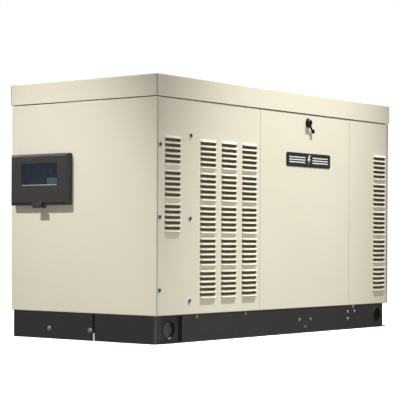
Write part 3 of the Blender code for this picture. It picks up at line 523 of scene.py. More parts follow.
# %% A sheet and its corners
def flat_sheet(low, high, columns=(), height=BLADE_HEIGHT, depth=BLADE_DEPTH, gaps=True, bend=BEND,
               reach=RETURN_DEPTH):
    """A louvred and folded sheet, drawn flat between two corners."""
    shape = bmesh.new()
    bmesh.ops.create_grid(shape, x_segments=1, y_segments=1, size=0.5)
    inner_low = (low[0] + bend, low[1] + bend)
    inner_high = (high[0] - bend, high[1] - bend)
    width, tall = inner_high[0] - inner_low[0], inner_high[1] - inner_low[1]
    bmesh.ops.scale(shape, vec=(width, tall, 1), verts=shape.verts)
    middle = Vector(((low[0] + high[0]) / 2, (low[1] + high[1]) / 2, 0))
    bmesh.ops.translate(shape, vec=middle, verts=shape.verts)
    fold_edges(shape, list(shape.edges), inner_low, inner_high, bend, reach)
    faces = [f for f in shape.faces if all(abs(v.co.z) < 1e-7 for v in f.verts)]
    for left, right, _ in columns:
        for edge in (left, right):
            faces = split(shape, faces, (edge, 0, 0), (1, 0, 0))
    for left, right, tops in columns:
        press_column(shape, faces, left, right, tops, height, depth, gaps)
        faces = [f for f in faces if f.is_valid]
    bmesh.ops.recalc_face_normals(shape, faces=shape.faces)
    if sum(f.normal.z * f.calc_area() for f in shape.faces) < 0:
        bmesh.ops.reverse_faces(shape, faces=shape.faces)
    return shape


CASE_CORNER = 0.783


def extent_along(node, side, top_gap=0.0, corner_gap=0.0):
    """The lowest and highest place of a CAD node along one side of the case, and up, less the seams."""
    along = SIDES[side][0]
    ends = sorted((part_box(node)[0].dot(along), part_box(node)[1].dot(along)))
    middle = CASE_MIDDLE * along.x
    low = ends[0] + (corner_gap if ends[0] - middle < -CASE_CORNER else 0)
    high = ends[1] - (corner_gap if ends[1] - middle > CASE_CORNER else 0)
    return (low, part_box(node)[0].z), (high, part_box(node)[1].z - top_gap)


# %% [markdown]
# ## Louvre layout
# The front has a short service column of three groups, then three tall columns of five groups, and one
# more tall column by the radiator end. The rear has two short ones. A dark seam stays open under the roof
# and at each corner, as between real panels.

# %% Build the long sides
TALL = (6, 6, 6, 6, 6)
SHORT = (6, 6, 6)
SERVICE_TOP = 0.7415
TALL_TOP = 0.738
COLUMN_WIDTH = 0.094
SERVICE_LEFT = -0.741
SERVICE_WIDTH = 0.089
TALL_LEFTS = (-0.537, -0.409, -0.280)
RADIATOR_LEFT = 0.667
REAR_LEFTS = (0.280, 0.440)
LID_SEAM = 0.0022
CORNER_SEAM = 0.0066


def column(left, width, top, groups):
    """One louvre column: its left edge, its right edge and its blades."""
    return left, left + width, louvre_tops(top, groups)


front_columns = [column(CASE_MIDDLE + SERVICE_LEFT, SERVICE_WIDTH, SERVICE_TOP, SHORT)]
front_columns += [column(CASE_MIDDLE + left, COLUMN_WIDTH, TALL_TOP, TALL) for left in TALL_LEFTS]
radiator_column = [column(CASE_MIDDLE + RADIATOR_LEFT, COLUMN_WIDTH, TALL_TOP, TALL)]
rear_columns = [column(left - CASE_MIDDLE, COLUMN_WIDTH, TALL_TOP, SHORT) for left in REAR_LEFTS]
for node, side, columns in (("front_louvre_panel", "front", front_columns),
                            ("front_right_panel", "front", radiator_column),
                            ("rear_louvre_panel", "rear", rear_columns), ("rear_right_panel", "rear", ())):
    shape = flat_sheet(*extent_along(node, side, LID_SEAM, CORNER_SEAM), columns)
    stand_up(shape, side)
    piece = new_piece(node + "_sheet", shape, cream_coat, "case", "cream_paint", node, thickness=SHEET)
    print(piece.name, len(piece.data.polygons), "faces")

# %% [markdown]
# ## End panels
# The end panels are folded the same way, with a shallow return so that they tuck behind the long sides.
# The discharge end has wide blades pushed inwards, which turn the radiator's hot air out of the case. The
# control end needs a window for the control housing: a rectangle cut between four lines and removed.

# %% Build the end panels
END_RETURN = 0.0036


def cut_window(shape, low, high):
    """Removes a rectangle from a sheet that is still drawn flat."""
    faces = [f for f in shape.faces if all(abs(v.co.z) < 1e-7 for v in f.verts)]
    for corner in (low, high):
        faces = split(shape, faces, (corner[0], 0, 0), (1, 0, 0))
        faces = split(shape, faces, (0, corner[1], 0), (0, 1, 0))
    opening = within(within(faces, 0, low[0], high[0]), 1, low[1], high[1])
    bmesh.ops.delete(shape, geom=opening, context="FACES")


WIDE_TOP = 0.76
WIDE_PITCH = 0.046
WIDE_HEIGHT = 0.026
WIDE_DEPTH = -0.0155
WIDE_REACH = 0.27
blade_tops = [(WIDE_TOP - WIDE_PITCH * step, True) for step in range(13)]
wide_column = [(-WIDE_REACH, WIDE_REACH, blade_tops)]
discharge = flat_sheet(*extent_along("discharge_end_panel", "discharge", LID_SEAM), wide_column,
                       height=WIDE_HEIGHT, depth=WIDE_DEPTH, gaps=False, reach=END_RETURN)
stand_up(discharge, "discharge")
new_piece("discharge_end_sheet", discharge, cream_coat, "case", "cream_paint", "discharge_end_panel",
          thickness=SHEET)
WINDOW_CLEARANCE = 0.0025
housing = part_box("control_housing")
control_end = flat_sheet(*extent_along("control_end_panel", "control", LID_SEAM), reach=END_RETURN)
cut_window(control_end, (-housing[1].y - WINDOW_CLEARANCE, housing[0].z - WINDOW_CLEARANCE / 2),
           (-housing[0].y + WINDOW_CLEARANCE, housing[1].z + WINDOW_CLEARANCE / 2))
stand_up(control_end, "control")
new_piece("control_end_sheet", control_end, cream_coat, "case", "cream_paint", "control_end_panel",
          thickness=SHEET)
print("end panels, one with", len(blade_tops), "wide blades")

# %% [markdown]
# ## Doors
# Each lift-off door is the same folded sheet without louvres. Its lock goes through a round hole, and the
# hole is hidden by the lock's own flange, so the sheet is left whole and the lock body covers the place.

# %% Build the doors
for side in ("front", "rear"):
    node = side + "_door"
    shape = flat_sheet(*extent_along(node, side))
    stand_up(shape, side)
    skin = new_piece(node + "_skin", shape, cream_coat, node, "cream_paint", node, thickness=SHEET)
    print(skin.name, len(skin.data.polygons), "faces")

# %% [markdown]
# ## Roof
# The roof is a deep tray turned upside down. A box loses its lower face, its other edges are rounded, and
# the open rim is turned inwards so that no raw edge shows above the panels.

# %% Build the roof
ROOF_RADIUS = 0.0035
ROOF_HEM = 0.012
roof_shape = bmesh.new()
bmesh.ops.create_cube(roof_shape, size=1)
bmesh.ops.scale(roof_shape, vec=ROOF[1] - ROOF[0], verts=roof_shape.verts)
bmesh.ops.translate(roof_shape, vec=(ROOF[0] + ROOF[1]) / 2, verts=roof_shape.verts)
rounded = [e for e in roof_shape.edges if (e.verts[0].co.z + e.verts[1].co.z) / 2 > ROOF[0].z + 0.001]
bmesh.ops.bevel(roof_shape, geom=rounded, offset=ROOF_RADIUS, segments=3, profile=0.5, affect="EDGES",
                material=-1)
bmesh.ops.delete(roof_shape, geom=[f for f in roof_shape.faces if f.normal.z < -0.9], context="FACES")
rim = [e for e in roof_shape.edges if e.is_boundary]
for vert in new_verts(bmesh.ops.extrude_edge_only(roof_shape, edges=rim)):
    vert.co.x += -ROOF_HEM if vert.co.x > CASE_MIDDLE else ROOF_HEM
    vert.co.y += -ROOF_HEM if vert.co.y > 0 else ROOF_HEM
bmesh.ops.recalc_face_normals(roof_shape, faces=roof_shape.faces)
if max(roof_shape.faces, key=lambda f: f.calc_area()).normal.z < 0:
    bmesh.ops.reverse_faces(roof_shape, faces=roof_shape.faces)
tray = new_piece("roof_tray", roof_shape, cream_coat, "case", "cream_paint", "roof", thickness=SHEET)
print(tray.name, len(tray.data.polygons), "faces")

# %% [markdown]
# ## Softened edges
# Folded plate, mouldings and castings have no knife edges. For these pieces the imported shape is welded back
# into one skin, its flat areas are joined again, and a small bevel rounds every sharp edge.

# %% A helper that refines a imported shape
WELD = 1e-5


def refined(node, body, slot, material, radius, segments=2):
    """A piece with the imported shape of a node, welded and with rounded edges."""
    shape = bmesh.new()
    shape.from_mesh(bpy.data.objects[node].data)
    bmesh.ops.remove_doubles(shape, verts=shape.verts, dist=WELD)
    bmesh.ops.dissolve_limit(shape, angle_limit=math.radians(2), verts=shape.verts, edges=shape.edges)
    bmesh.ops.recalc_face_normals(shape, faces=shape.faces)
    piece = new_piece(node + "_finish", shape, material, body, slot, node)
    rounding = piece.modifiers.new("rounding", "BEVEL")
    rounding.width = radius
    rounding.segments = segments
    rounding.limit_method = "ANGLE"
    rounding.angle_limit = math.radians(40)
    return piece


print("corners closer than", WELD, "are welded")

# %% [markdown]
# ## Which pieces are softened
# Each row gives a node, the body it rides on, the name of its finish on the slot list, its material and the
# radius of its edges: under a millimetre on pressed sheet, two to five on mouldings and castings.

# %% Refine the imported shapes
REFINED = (
    ("control_cover", "control_cover", "charcoal_plastic", textured_abs, 0.0022),
    ("cover_latch", "cover_latch", "charcoal_plastic", textured_abs, 0.0012),
    ("control_housing", "case", "charcoal_plastic", textured_abs, 0.0015),
    ("control_module", "case", "charcoal_plastic", black_nylon, 0.0025),
    ("base_rail_front", "case", "black_paint", black_coat, 0.0018),
    ("base_rail_rear", "case", "black_paint", black_coat, 0.0018),
    ("end_skirt_front", "case", "black_paint", black_coat, 0.0008),
    ("end_skirt_rear", "case", "black_paint", black_coat, 0.0008),
    ("crossmember_generator", "case", "black_paint", black_coat, 0.003),
    ("crossmember_engine", "case", "black_paint", black_coat, 0.003),
    ("engine_block", "case", "engine_paint", engine_enamel, 0.004),
    ("cylinder_head", "case", "cast_aluminium", cast_aluminium, 0.003),
    ("valve_cover", "case", "black_plastic", black_nylon, 0.004),
    ("oil_pan", "case", "black_plastic", black_coat, 0.005),
    ("intake_manifold", "case", "cast_aluminium", cast_aluminium, 0.003),
    ("exhaust_manifold", "case", "engine_paint", engine_enamel, 0.003),
    ("air_cleaner", "case", "black_plastic", black_nylon, 0.005),
    ("battery", "case", "black_plastic", battery_case, 0.004),
    ("main_breaker", "case", "black_plastic", black_nylon, 0.0025),
    ("fan_shroud", "case", "black_plastic", black_nylon, 0.003),
    ("muffler", "case", "aluminised_steel", aluminised_steel, 0.004),
)
for node, body, slot, material, radius in REFINED:
    refined(node, body, slot, material, radius)
print(len(REFINED), "refined pieces")

# %% [markdown]
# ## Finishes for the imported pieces
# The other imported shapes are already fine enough, and only need their material.

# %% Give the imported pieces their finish
FINISHES = {
    cream_coat: ("front_louvre_panel", "front_right_panel", "rear_louvre_panel", "rear_right_panel", "roof",
                 "control_end_panel", "discharge_end_panel", "front_door", "rear_door"),
    black_coat: ("base_rail_front", "base_rail_rear", "crossmember_generator", "crossmember_engine",
                 "floor_pan", "end_skirt_front", "end_skirt_rear", "oil_pan"),
    textured_abs: ("control_housing", "control_cover", "cover_latch"),
    black_nylon: ("control_module", "main_breaker", "breaker_toggle", "valve_cover", "intake_manifold",
                  "air_cleaner", "fan_shroud", "cooling_fan", "starter_motor"),
    screen_film: ("touchscreen",),
    smoked_pane: ("cover_window",),
    galvanised_sheet: ("bulkhead", "mount_rail_generator", "mount_rail_engine"),
    engine_enamel: ("stator_housing", "engine_block", "exhaust_manifold"),
    cast_aluminium: ("flywheel_housing", "cylinder_head", "charging_alternator", "radiator"),
    turned_steel: ("rotor", "flywheel", "crank_pulley", "charging_pulley", "dipstick", "radiator_cap"),
    white_enamel: ("oil_filter",),
    belt_rubber: ("drive_belt",),
    rubber: ("upper_hose",),
    aluminised_steel: ("exhaust_pipe", "muffler"),
    battery_case: ("battery",),
    foam: ("front_door_lining",),
    black_zinc: ("front_latch_body", "front_latch_knob", "rear_latch_knob", "front_key_cover"),
    red_polycarbonate: ("stop_button",),
    yellow_nylon: ("oil_filler_cap",),
}
for material, nodes in FINISHES.items():
    for node in nodes:
        mesh = bpy.data.objects[node].data
        mesh.materials.clear()
        mesh.materials.append(material)
unfinished = [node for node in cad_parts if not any(node in nodes for nodes in FINISHES.values())]
print("without a finish:", unfinished)

# %% [markdown]
# ## Sound-deadening foam and louvre shade
# The door carries a slab of open-cell foam, glued on and pressed thinner along its edge. Sheets in a dark
# olive stand close behind the louvres and paint the shade of the inside that shows between the blades.

# %% Build the lining and the shade sheets
PILLOW_CUTS = (-0.44, -0.3, 0.0, 0.3, 0.44)
SHARP = 0.6


def pillow(name, low, high, body, slot, thin_axis, crown, *nodes, material=foam):
    """A slab that swells towards the middle of its two large faces."""
    size = Vector(high) - Vector(low)
    middle = (Vector(low) + Vector(high)) / 2
    shape = bmesh.new()
    bmesh.ops.create_cube(shape, size=1)
    bmesh.ops.scale(shape, vec=size, verts=shape.verts)
    bmesh.ops.translate(shape, vec=middle, verts=shape.verts)
    broad = [axis for axis in range(3) if axis != thin_axis]
    for axis in broad:
        normal = Vector([axis == other for other in range(3)])
        for step in PILLOW_CUTS:
            bmesh.ops.bisect_plane(shape, geom=[*shape.verts, *shape.edges, *shape.faces],
                                   plane_co=middle + normal * size[axis] * step, plane_no=normal)
    for vert in shape.verts:
        spread = [abs(vert.co[axis] - middle[axis]) / size[axis] * 2 for axis in broad]
        side = 1 if vert.co[thin_axis] > middle[thin_axis] else -1
        vert.co[thin_axis] -= side * crown * max(spread) ** 8
    bmesh.ops.bevel(shape, geom=[e for e in shape.edges if e.calc_face_angle(0) > SHARP], offset=0.003,
                    segments=2, profile=0.5, affect="EDGES", material=-1)
    bmesh.ops.recalc_face_normals(shape, faces=shape.faces)
    piece = new_piece(name, shape, material, body, slot, *nodes, smooth=60)
    return piece


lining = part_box("front_door_lining")
pillow("door_lining_foam", lining[0], lining[1], "front_door", "foam", 1, 0.003, "front_door_lining")
GAP_SHADE_FRONT = 0.3545
GAP_SHADE_BACK = 0.3510
GAP_SHADE_FOOT = 0.125
GAP_SHADE_TOP = 0.86
GAP_SHADE_SHEETS = (("service", -0.757, -0.636, -1), ("columns_left", -0.560, -0.300, -1),
           ("columns_right", -0.295, -0.172, -1), ("radiator", 0.655, 0.7700, -1),
           ("rear", -0.560, -0.260, 1))
# Each sheet's dark olive is painted shade for the inside seen through the louvre slots.
for label, left, right, side_y in GAP_SHADE_SHEETS:
    low_y, high_y = sorted((side_y * GAP_SHADE_FRONT, side_y * GAP_SHADE_BACK))
    pillow("gap_shade_" + label, (CASE_MIDDLE + left, low_y, GAP_SHADE_FOOT),
           (CASE_MIDDLE + right, high_y, GAP_SHADE_TOP), "case", "foam", 1, 0.0005, material=louvre_gap_shade)
print("foam pieces", 1 + len(GAP_SHADE_SHEETS))

# %% [markdown]
# ## Screws, bolts and rivets
# Fasteners are lathe work: one profile is turned round an axis. Each is a domed head on a thin washer, with
# a dark drive recess sunk in the middle, so that even at a distance it reads as a ring with a dark centre.

# %% Turn heads from profiles
def turn(shape, profile, place, outward, sides=20):
    """Adds a turned solid to a bmesh; the profile lists (radius, height) from the top down."""
    outward = Vector(outward).normalized()
    sideways = outward.orthogonal().normalized()
    foot = Vector(place)
    verts = [shape.verts.new(foot + sideways * radius + outward * height) for radius, height in profile]
    edges = [shape.edges.new(pair) for pair in zip(verts, verts[1:])]
    bmesh.ops.spin(shape, geom=[*verts, *edges], cent=place, axis=outward, angle=math.tau, steps=sides,
                   use_merge=True)
    return shape


def turned_set(name, profile, places, outward, material, body, slot, sides=20, smooth=40):
    """One piece made of equal turned solids at several places."""
    shape = bmesh.new()
    for place in places:
        turn(shape, profile, place, outward, sides)
    bmesh.ops.remove_doubles(shape, verts=shape.verts, dist=1e-6)
    bmesh.ops.recalc_face_normals(shape, faces=shape.faces)
    return new_piece(name, shape, material, body, slot, smooth=smooth)


def hex_set(name, width, height, places, outward, material, body, slot):
    """Hexagon heads with a pressed-on washer."""
    radius = width / math.sqrt(3)
    head = [(0, height), (radius * 0.82, height), (radius, height * 0.8), (radius, height * 0.25)]
    washer = [(radius * 1.28, height * 0.25), (radius * 1.36, height * 0.1), (radius * 1.36, 0), (0, 0)]
    shape = bmesh.new()
    for place in places:
        turn(shape, [*head, (0, height * 0.25)], place, outward, 6)
        turn(shape, [(0, height * 0.25), *washer], place, outward, 20)
    bmesh.ops.remove_doubles(shape, verts=shape.verts, dist=1e-6)
    bmesh.ops.recalc_face_normals(shape, faces=shape.faces)
    return new_piece(name, shape, material, body, slot, smooth=30)


# %% [markdown]
# ## Where the fasteners go
# The service panel is held by two rows of screws, and the base rail carries bolts, plated bolts and plugged
# holes in clusters. Places are (along the side, up) from the middle of the case, and the rear mirrors them.

# %% Fit the fasteners
RING = [(0, 0.0026), (0.0052, 0.0026), (0.0062, 0.0042), (0.0078, 0.0036), (0.0092, 0.0012), (0.0092, 0),
        (0, 0)]
CORE = [(0, 0.0052), (0.0034, 0.0050), (0.0050, 0.0038), (0.0052, 0.0024), (0, 0.0024)]
PANEL_SCREWS = ((-0.769, 0.708), (-0.595, 0.748), (-0.771, 0.451), (-0.598, 0.448), (-0.770, 0.192),
                (-0.599, 0.150))
RAIL_FACE = 0.356
RAIL_BOLTS = ((0.513, 0.093), (0.473, 0.072), (0.524, 0.074), (0.473, 0.043), (0.116, 0.053), (0.194, 0.053))
PLATED_BOLTS = ((-0.549, 0.088), (-0.250, 0.088), (0.157, 0.023))
RAIL_PLUGS = ((-0.331, 0.082), (-0.331, 0.025), (-0.181, 0.058), (-0.073, 0.058))
PLUG = [(0, 0.0008), (0.0038, 0.0008), (0.0044, 0.0002), (0.0044, 0), (0, 0)]
for side, face in (("front", FRONT_FACE), ("rear", REAR_FACE)):
    sign = 1 if side == "front" else -1
    out = (0, -sign, 0)
    places = [(CASE_MIDDLE + sign * x, face, z) for x, z in PANEL_SCREWS]
    turned_set(side + "_screw_rings", RING, places, out, zinc_plate, "case", "zinc_plate")
    turned_set(side + "_screw_cores", CORE, places, out, black_oxide, "case", "black_zinc", sides=12)
    rail = [(CASE_MIDDLE + sign * x, -sign * RAIL_FACE, z) for x, z in RAIL_BOLTS]
    hex_set(side + "_rail_bolts", 0.0090, 0.0034, rail, out, zinc_plate, "case", "zinc_plate")
    plugs = [(CASE_MIDDLE + sign * x, -sign * RAIL_FACE, z) for x, z in RAIL_PLUGS]
    turned_set(side + "_rail_plugs", PLUG, plugs, out, rubber, "case", "rubber", sides=12)
    plated = [(CASE_MIDDLE + sign * x, -sign * RAIL_FACE, z) for x, z in PLATED_BOLTS]
    hex_set(side + "_plated_bolts", 0.0080, 0.0028, plated, out, yellow_zinc, "case", "zinc_plate")
SKIRT_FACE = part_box("end_skirt_rear")[0].x
SKIRT_BOLTS = [(SKIRT_FACE, y, 0.038) for y in (-0.046, 0.159)]
hex_set("skirt_bolts", 0.0125, 0.0050, SKIRT_BOLTS, (-1, 0, 0), zinc_plate, "case", "zinc_plate")
print("fasteners on a side", len(PANEL_SCREWS) + len(RAIL_BOLTS) + len(PLATED_BOLTS) + len(RAIL_PLUGS))

# %% [markdown]
# ## Badge
# The door wears a thin printed plate with a plain lightning bolt, and no name. The plate is a rounded
# rectangle with a raised rim, and the symbol is a flat cut-out that stands a fraction of a millimetre proud.

# %% Build the badge plate
# Anodised aluminium dyed black: a fine, even satin.
PLATE_BLACK = surface("black_anodised_plate", "#262829", "#1C1D1F", 40, 1.2, 0.004, 0.38, 0.06)
# Screen-printed ink: an opaque white with a slight gloss.
SYMBOL_WHITE = surface("screen_printed_white", "#E9E9E6", "#DEDEDA", 20, 0.8, 0.004, 0.45, 0.05)
BADGE_LOW = Vector((CASE_MIDDLE + 0.010, 0.664))
BADGE_HIGH = Vector((CASE_MIDDLE + 0.326, 0.720))
BADGE_CORNER = 0.010
BADGE_PROUD = 0.0016
CORNER_STEPS = 6


def extruded(shape, outline, base, height):
    """Adds a flat outline (x, z) to a bmesh as a prism that stands on the front face."""
    verts = [shape.verts.new((x, FRONT_FACE - base, z)) for x, z in outline]
    face = shape.faces.new(verts)
    top = bmesh.ops.extrude_face_region(shape, geom=[face])["geom"]
    raised = [item for item in top if isinstance(item, bmesh.types.BMVert)]
    bmesh.ops.translate(shape, vec=(0, -height, 0), verts=raised)


outline = []
for quarter, (cx, cz) in enumerate(((1, 1), (0, 1), (0, 0), (1, 0))):
    centre_x = (BADGE_HIGH.x - BADGE_CORNER) if cx else (BADGE_LOW.x + BADGE_CORNER)
    centre_z = (BADGE_HIGH.y - BADGE_CORNER) if cz else (BADGE_LOW.y + BADGE_CORNER)
    for step in range(CORNER_STEPS + 1):
        angle = math.radians(90 * (quarter + step / CORNER_STEPS))
        outline.append((centre_x + BADGE_CORNER * math.cos(angle), centre_z + BADGE_CORNER * math.sin(angle)))
badge = bmesh.new()
extruded(badge, outline, 0.0001, BADGE_PROUD)
bmesh.ops.bevel(badge, geom=[e for e in badge.edges if e.calc_face_angle(0) > 1.2], offset=0.0006, segments=2,
                profile=0.5, affect="EDGES", material=-1)
bmesh.ops.recalc_face_normals(badge, faces=badge.faces)
new_piece("door_badge", badge, PLATE_BLACK, "front_door", "black_plastic")
print("badge", [round(v, 3) for v in BADGE_HIGH - BADGE_LOW])

# %% [markdown]
# ## Badge symbol
# The lightning bolt is one outline of seven points, with three bars on either side of it, all printed on
# the plate in one thick layer of ink.

# %% Print the symbol
BOLT = ((0.003, 0.021), (-0.012, -0.003), (-0.002, -0.003), (-0.006, -0.021), (0.012, 0.005), (0.001, 0.005),
        (0.009, 0.021))
BARS = ((-0.138, -0.026), (0.026, 0.138))
BAR_HEIGHTS = (-0.010, 0.0, 0.010)
BAR_HALF = 0.0022
INK = 0.0005
middle = (BADGE_LOW + BADGE_HIGH) / 2
symbol = bmesh.new()
extruded(symbol, [(middle.x + x, middle.y + z) for x, z in BOLT], BADGE_PROUD, INK)
for low, high in BARS:
    for z in BAR_HEIGHTS:
        bar = ((low, z - BAR_HALF), (high, z - BAR_HALF), (high, z + BAR_HALF), (low, z + BAR_HALF))
        extruded(symbol, [(middle.x + x, middle.y + up) for x, up in bar], BADGE_PROUD, INK)
bmesh.ops.recalc_face_normals(symbol, faces=symbol.faces)
new_piece("badge_symbol", symbol, SYMBOL_WHITE, "front_door", "white_paint", smooth=20)
print("bars", len(BARS) * len(BAR_HEIGHTS))

# %% [markdown]
# ## Oval lock plate
# The lock sits on an upright oval plate with a rolled edge. An oval is a circle of points stretched one way,
# so the plate is drawn as stacked ovals and skinned ring by ring.

# %% Build the lock plate
OVAL_SIDES = 36
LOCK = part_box("front_latch_body")
lock_middle = Vector(((LOCK[0].x + LOCK[1].x) / 2, FRONT_FACE, (LOCK[0].z + LOCK[1].z) / 2))
# Half width, half height and height above the door, from the keyhole's lip outwards and back inside.
OVAL = ((0.0062, 0.0062, 0.0060), (0.0120, 0.0165, 0.0060), (0.0136, 0.0184, 0.0048),
        (0.0140, 0.0190, 0.0026), (0.0140, 0.0190, 0.0004), (0.0112, 0.0112, 0.0004),
        (0.0112, 0.0112, -0.0190), (0.0062, 0.0062, -0.0190))
plate = bmesh.new()
rings = []
for half_width, half_height, height in OVAL:
    ring = []
    for step in range(OVAL_SIDES):
        angle = math.tau * step / OVAL_SIDES
        offset = Vector((half_width * math.cos(angle), -height, half_height * math.sin(angle)))
        ring.append(plate.verts.new(lock_middle + offset))
    rings.append(ring)
for ring, following in zip(rings, rings[1:] + rings[:1]):
    for step in range(OVAL_SIDES):
        plate.faces.new((ring[step], ring[step - 1], following[step - 1], following[step]))
bmesh.ops.recalc_face_normals(plate, faces=plate.faces)
new_piece("front_lock_plate", plate, black_zinc, "front_door", "black_zinc", "front_latch_body")
print("lock plate at", [round(v, 3) for v in lock_middle])

# %% [markdown]
# ## Control panel
# Behind the window the module carries a printed label and a collar round the stop button. A thin pale
# strip along the lower edge of the window paints the highlight that falls there.

# %% Label, highlight strip and collar finishes
# Printed polyester film: pale cyan with a dull gloss.
LABEL_CYAN = surface("pale_cyan_label", "#A9CFCF", "#93BCBE", 25, 1.0, 0.003, 0.40, 0.05)
# Painted highlight: a pale satin strip for the bright line along the window's lower edge.
WINDOW_EDGE_HIGHLIGHT = surface("painted_window_edge_highlight", "#C9D3D8", "#B5C0C6", 20, 0.8, 0.004, 0.30, 0.05, metallic=0.4)
# Moulded grey nylon: a quiet ring that sets off the red button.
COLLAR_GREY = surface("grey_button_collar", "#5D6168", "#51555C", 15, 0.8, 0.004, 0.35, 0.05)
print("panel finishes", [m.name for m in (LABEL_CYAN, WINDOW_EDGE_HIGHLIGHT, COLLAR_GREY)])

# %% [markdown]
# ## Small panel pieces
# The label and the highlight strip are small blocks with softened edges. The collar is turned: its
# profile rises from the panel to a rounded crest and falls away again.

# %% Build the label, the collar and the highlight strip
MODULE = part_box("control_module")
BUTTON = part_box("stop_button")
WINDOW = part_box("cover_window")
LABEL_LOW = (0.131, 0.5745)
LABEL_HIGH = (0.184, 0.601)
COLLAR = [(0.0125, 0.0), (0.0125, 0.0022), (0.0145, 0.0030), (0.0172, 0.0022), (0.0180, 0.0), (0.0125, 0.0)]
button_middle = ((BUTTON[0].y + BUTTON[1].y) / 2, (BUTTON[0].z + BUTTON[1].z) / 2)


def tile(low, high, soften):
    """A small rounded plate between two corners."""
    shape = bmesh.new()
    verts = bmesh.ops.create_cube(shape, size=1)["verts"]
    bmesh.ops.scale(shape, vec=Vector(high) - Vector(low), verts=verts)
    bmesh.ops.translate(shape, vec=(Vector(low) + Vector(high)) / 2, verts=verts)
    bmesh.ops.bevel(shape, geom=list(shape.edges), offset=soften, segments=2, profile=0.5, affect="EDGES",
                    material=-1)
    return shape


printed = tile((MODULE[0].x - 0.0008, *LABEL_LOW), (MODULE[0].x - 0.0001, *LABEL_HIGH), 0.0003)
new_piece("module_label", printed, LABEL_CYAN, "case", "white_paint")
collar = bmesh.new()
turn(collar, COLLAR, (MODULE[0].x - 0.0002, *button_middle), (-1, 0, 0), 32)
bmesh.ops.remove_doubles(collar, verts=collar.verts, dist=1e-6)
bmesh.ops.recalc_face_normals(collar, faces=collar.faces)
new_piece("button_collar", collar, COLLAR_GREY, "case", "charcoal_plastic")
# A pale strip along the window's lower edge paints the highlight there.
highlight_low = (WINDOW[0].x - 0.0003, WINDOW[0].y + 0.001, WINDOW[0].z)
highlight_high = (WINDOW[0].x + 0.0004, WINDOW[1].y - 0.004, WINDOW[0].z + 0.0028)
new_piece("window_edge_highlight", tile(highlight_low, highlight_high, 0.0002), WINDOW_EDGE_HIGHLIGHT, "control_cover", "zinc_plate")
print("button at", [round(v, 3) for v in button_middle])

# %% [markdown]
# ## Seams of the case
# At each upright corner the side sheet stops a few millimetres short of the end sheet, and a black block
# sunk in the groove paints the shade there. The roof tray is folded from one blank, and a thin brown strip
# at each of its corners paints the shade in the seam.

# %% Paint shade into the corners
# Painted shade: a dull brown line in the roof's corner seams.
ROOF_SEAM_SHADE = surface("painted_roof_seam_shade", "#3B372C", "#2F2B22", 20, 2.0, 0.05, 0.75, 0.05)
EDGE_SHADE_END = 0.7847
EDGE_SHADE_WIDTH = 0.0060
EDGE_SHADE_FOOT = 0.104
EDGE_SHADE_TOP = 0.872
EDGE_SHADE_SUNK = 0.0035
EDGE_SHADE_DEPTH = 0.0120
SEAM_INSET = 0.0010
SEAM_HALF = 0.0009


def block(shape, low, high):
    """Adds a box to a bmesh between two corners."""
    verts = bmesh.ops.create_cube(shape, size=1)["verts"]
    bmesh.ops.scale(shape, vec=Vector(high) - Vector(low), verts=verts)
    bmesh.ops.translate(shape, vec=(Vector(low) + Vector(high)) / 2, verts=verts)
    return verts


edge_shades = bmesh.new()
seam_shades = bmesh.new()
for side_x in (-1, 1):
    outer = CASE_MIDDLE + side_x * EDGE_SHADE_END
    near, far = sorted((outer, outer - side_x * EDGE_SHADE_WIDTH))
    roof_x = ROOF[0].x if side_x < 0 else ROOF[1].x
    for face_y in (FRONT_FACE, REAR_FACE):
        side_y = 1 if face_y > 0 else -1
        low_y, high_y = sorted((face_y - side_y * EDGE_SHADE_SUNK, face_y - side_y * EDGE_SHADE_DEPTH))
        block(edge_shades, (near, low_y, EDGE_SHADE_FOOT), (far, high_y, EDGE_SHADE_TOP))
        seam_x = roof_x - side_x * SEAM_INSET
        seam_y = side_y * (ROOF[1].y - SEAM_INSET)
        block(seam_shades, (seam_x - SEAM_HALF, seam_y - SEAM_HALF, ROOF[0].z + 0.0002),
              (seam_x + SEAM_HALF, seam_y + SEAM_HALF, ROOF[1].z - 0.0025))
# The black blocks paint the shade in the corner grooves, and the brown strips the shade in the roof seams.
new_piece("corner_edge_shades", edge_shades, rubber, "case", "rubber")
new_piece("roof_corner_seam_shades", seam_shades, ROOF_SEAM_SHADE, "case", "rubber")
print("seals from z", EDGE_SHADE_FOOT, "to", EDGE_SHADE_TOP)

# %% [markdown]
# ## Lifting holes
# Each lifting hole has a rolled lip, so that a bar does not cut into an edge. Behind the hole on the
# crossmember side a grey disc paints the light on the inside of the black rail. A plate closes the base at
# the discharge end.

# %% Close the base and line its holes
# Painted light: a flat, slightly blotchy grey for the lit inside of the black rail seen through the hole.
HOLE_LIGHT_GREY = surface("painted_light_in_hole", "#5E5D5C", "#504F4E", 30, 1.5, 0.02, 0.6, 0.06)
END_PLATE_LOW = Vector((CASE_MIDDLE + 0.7485, -0.3515, 0.0045))
END_PLATE_HIGH = Vector((CASE_MIDDLE + 0.7515, 0.3515, 0.0860))
LIT_DISC_FACE = 0.3270
LIT_DISC_GAUGE = 0.0026
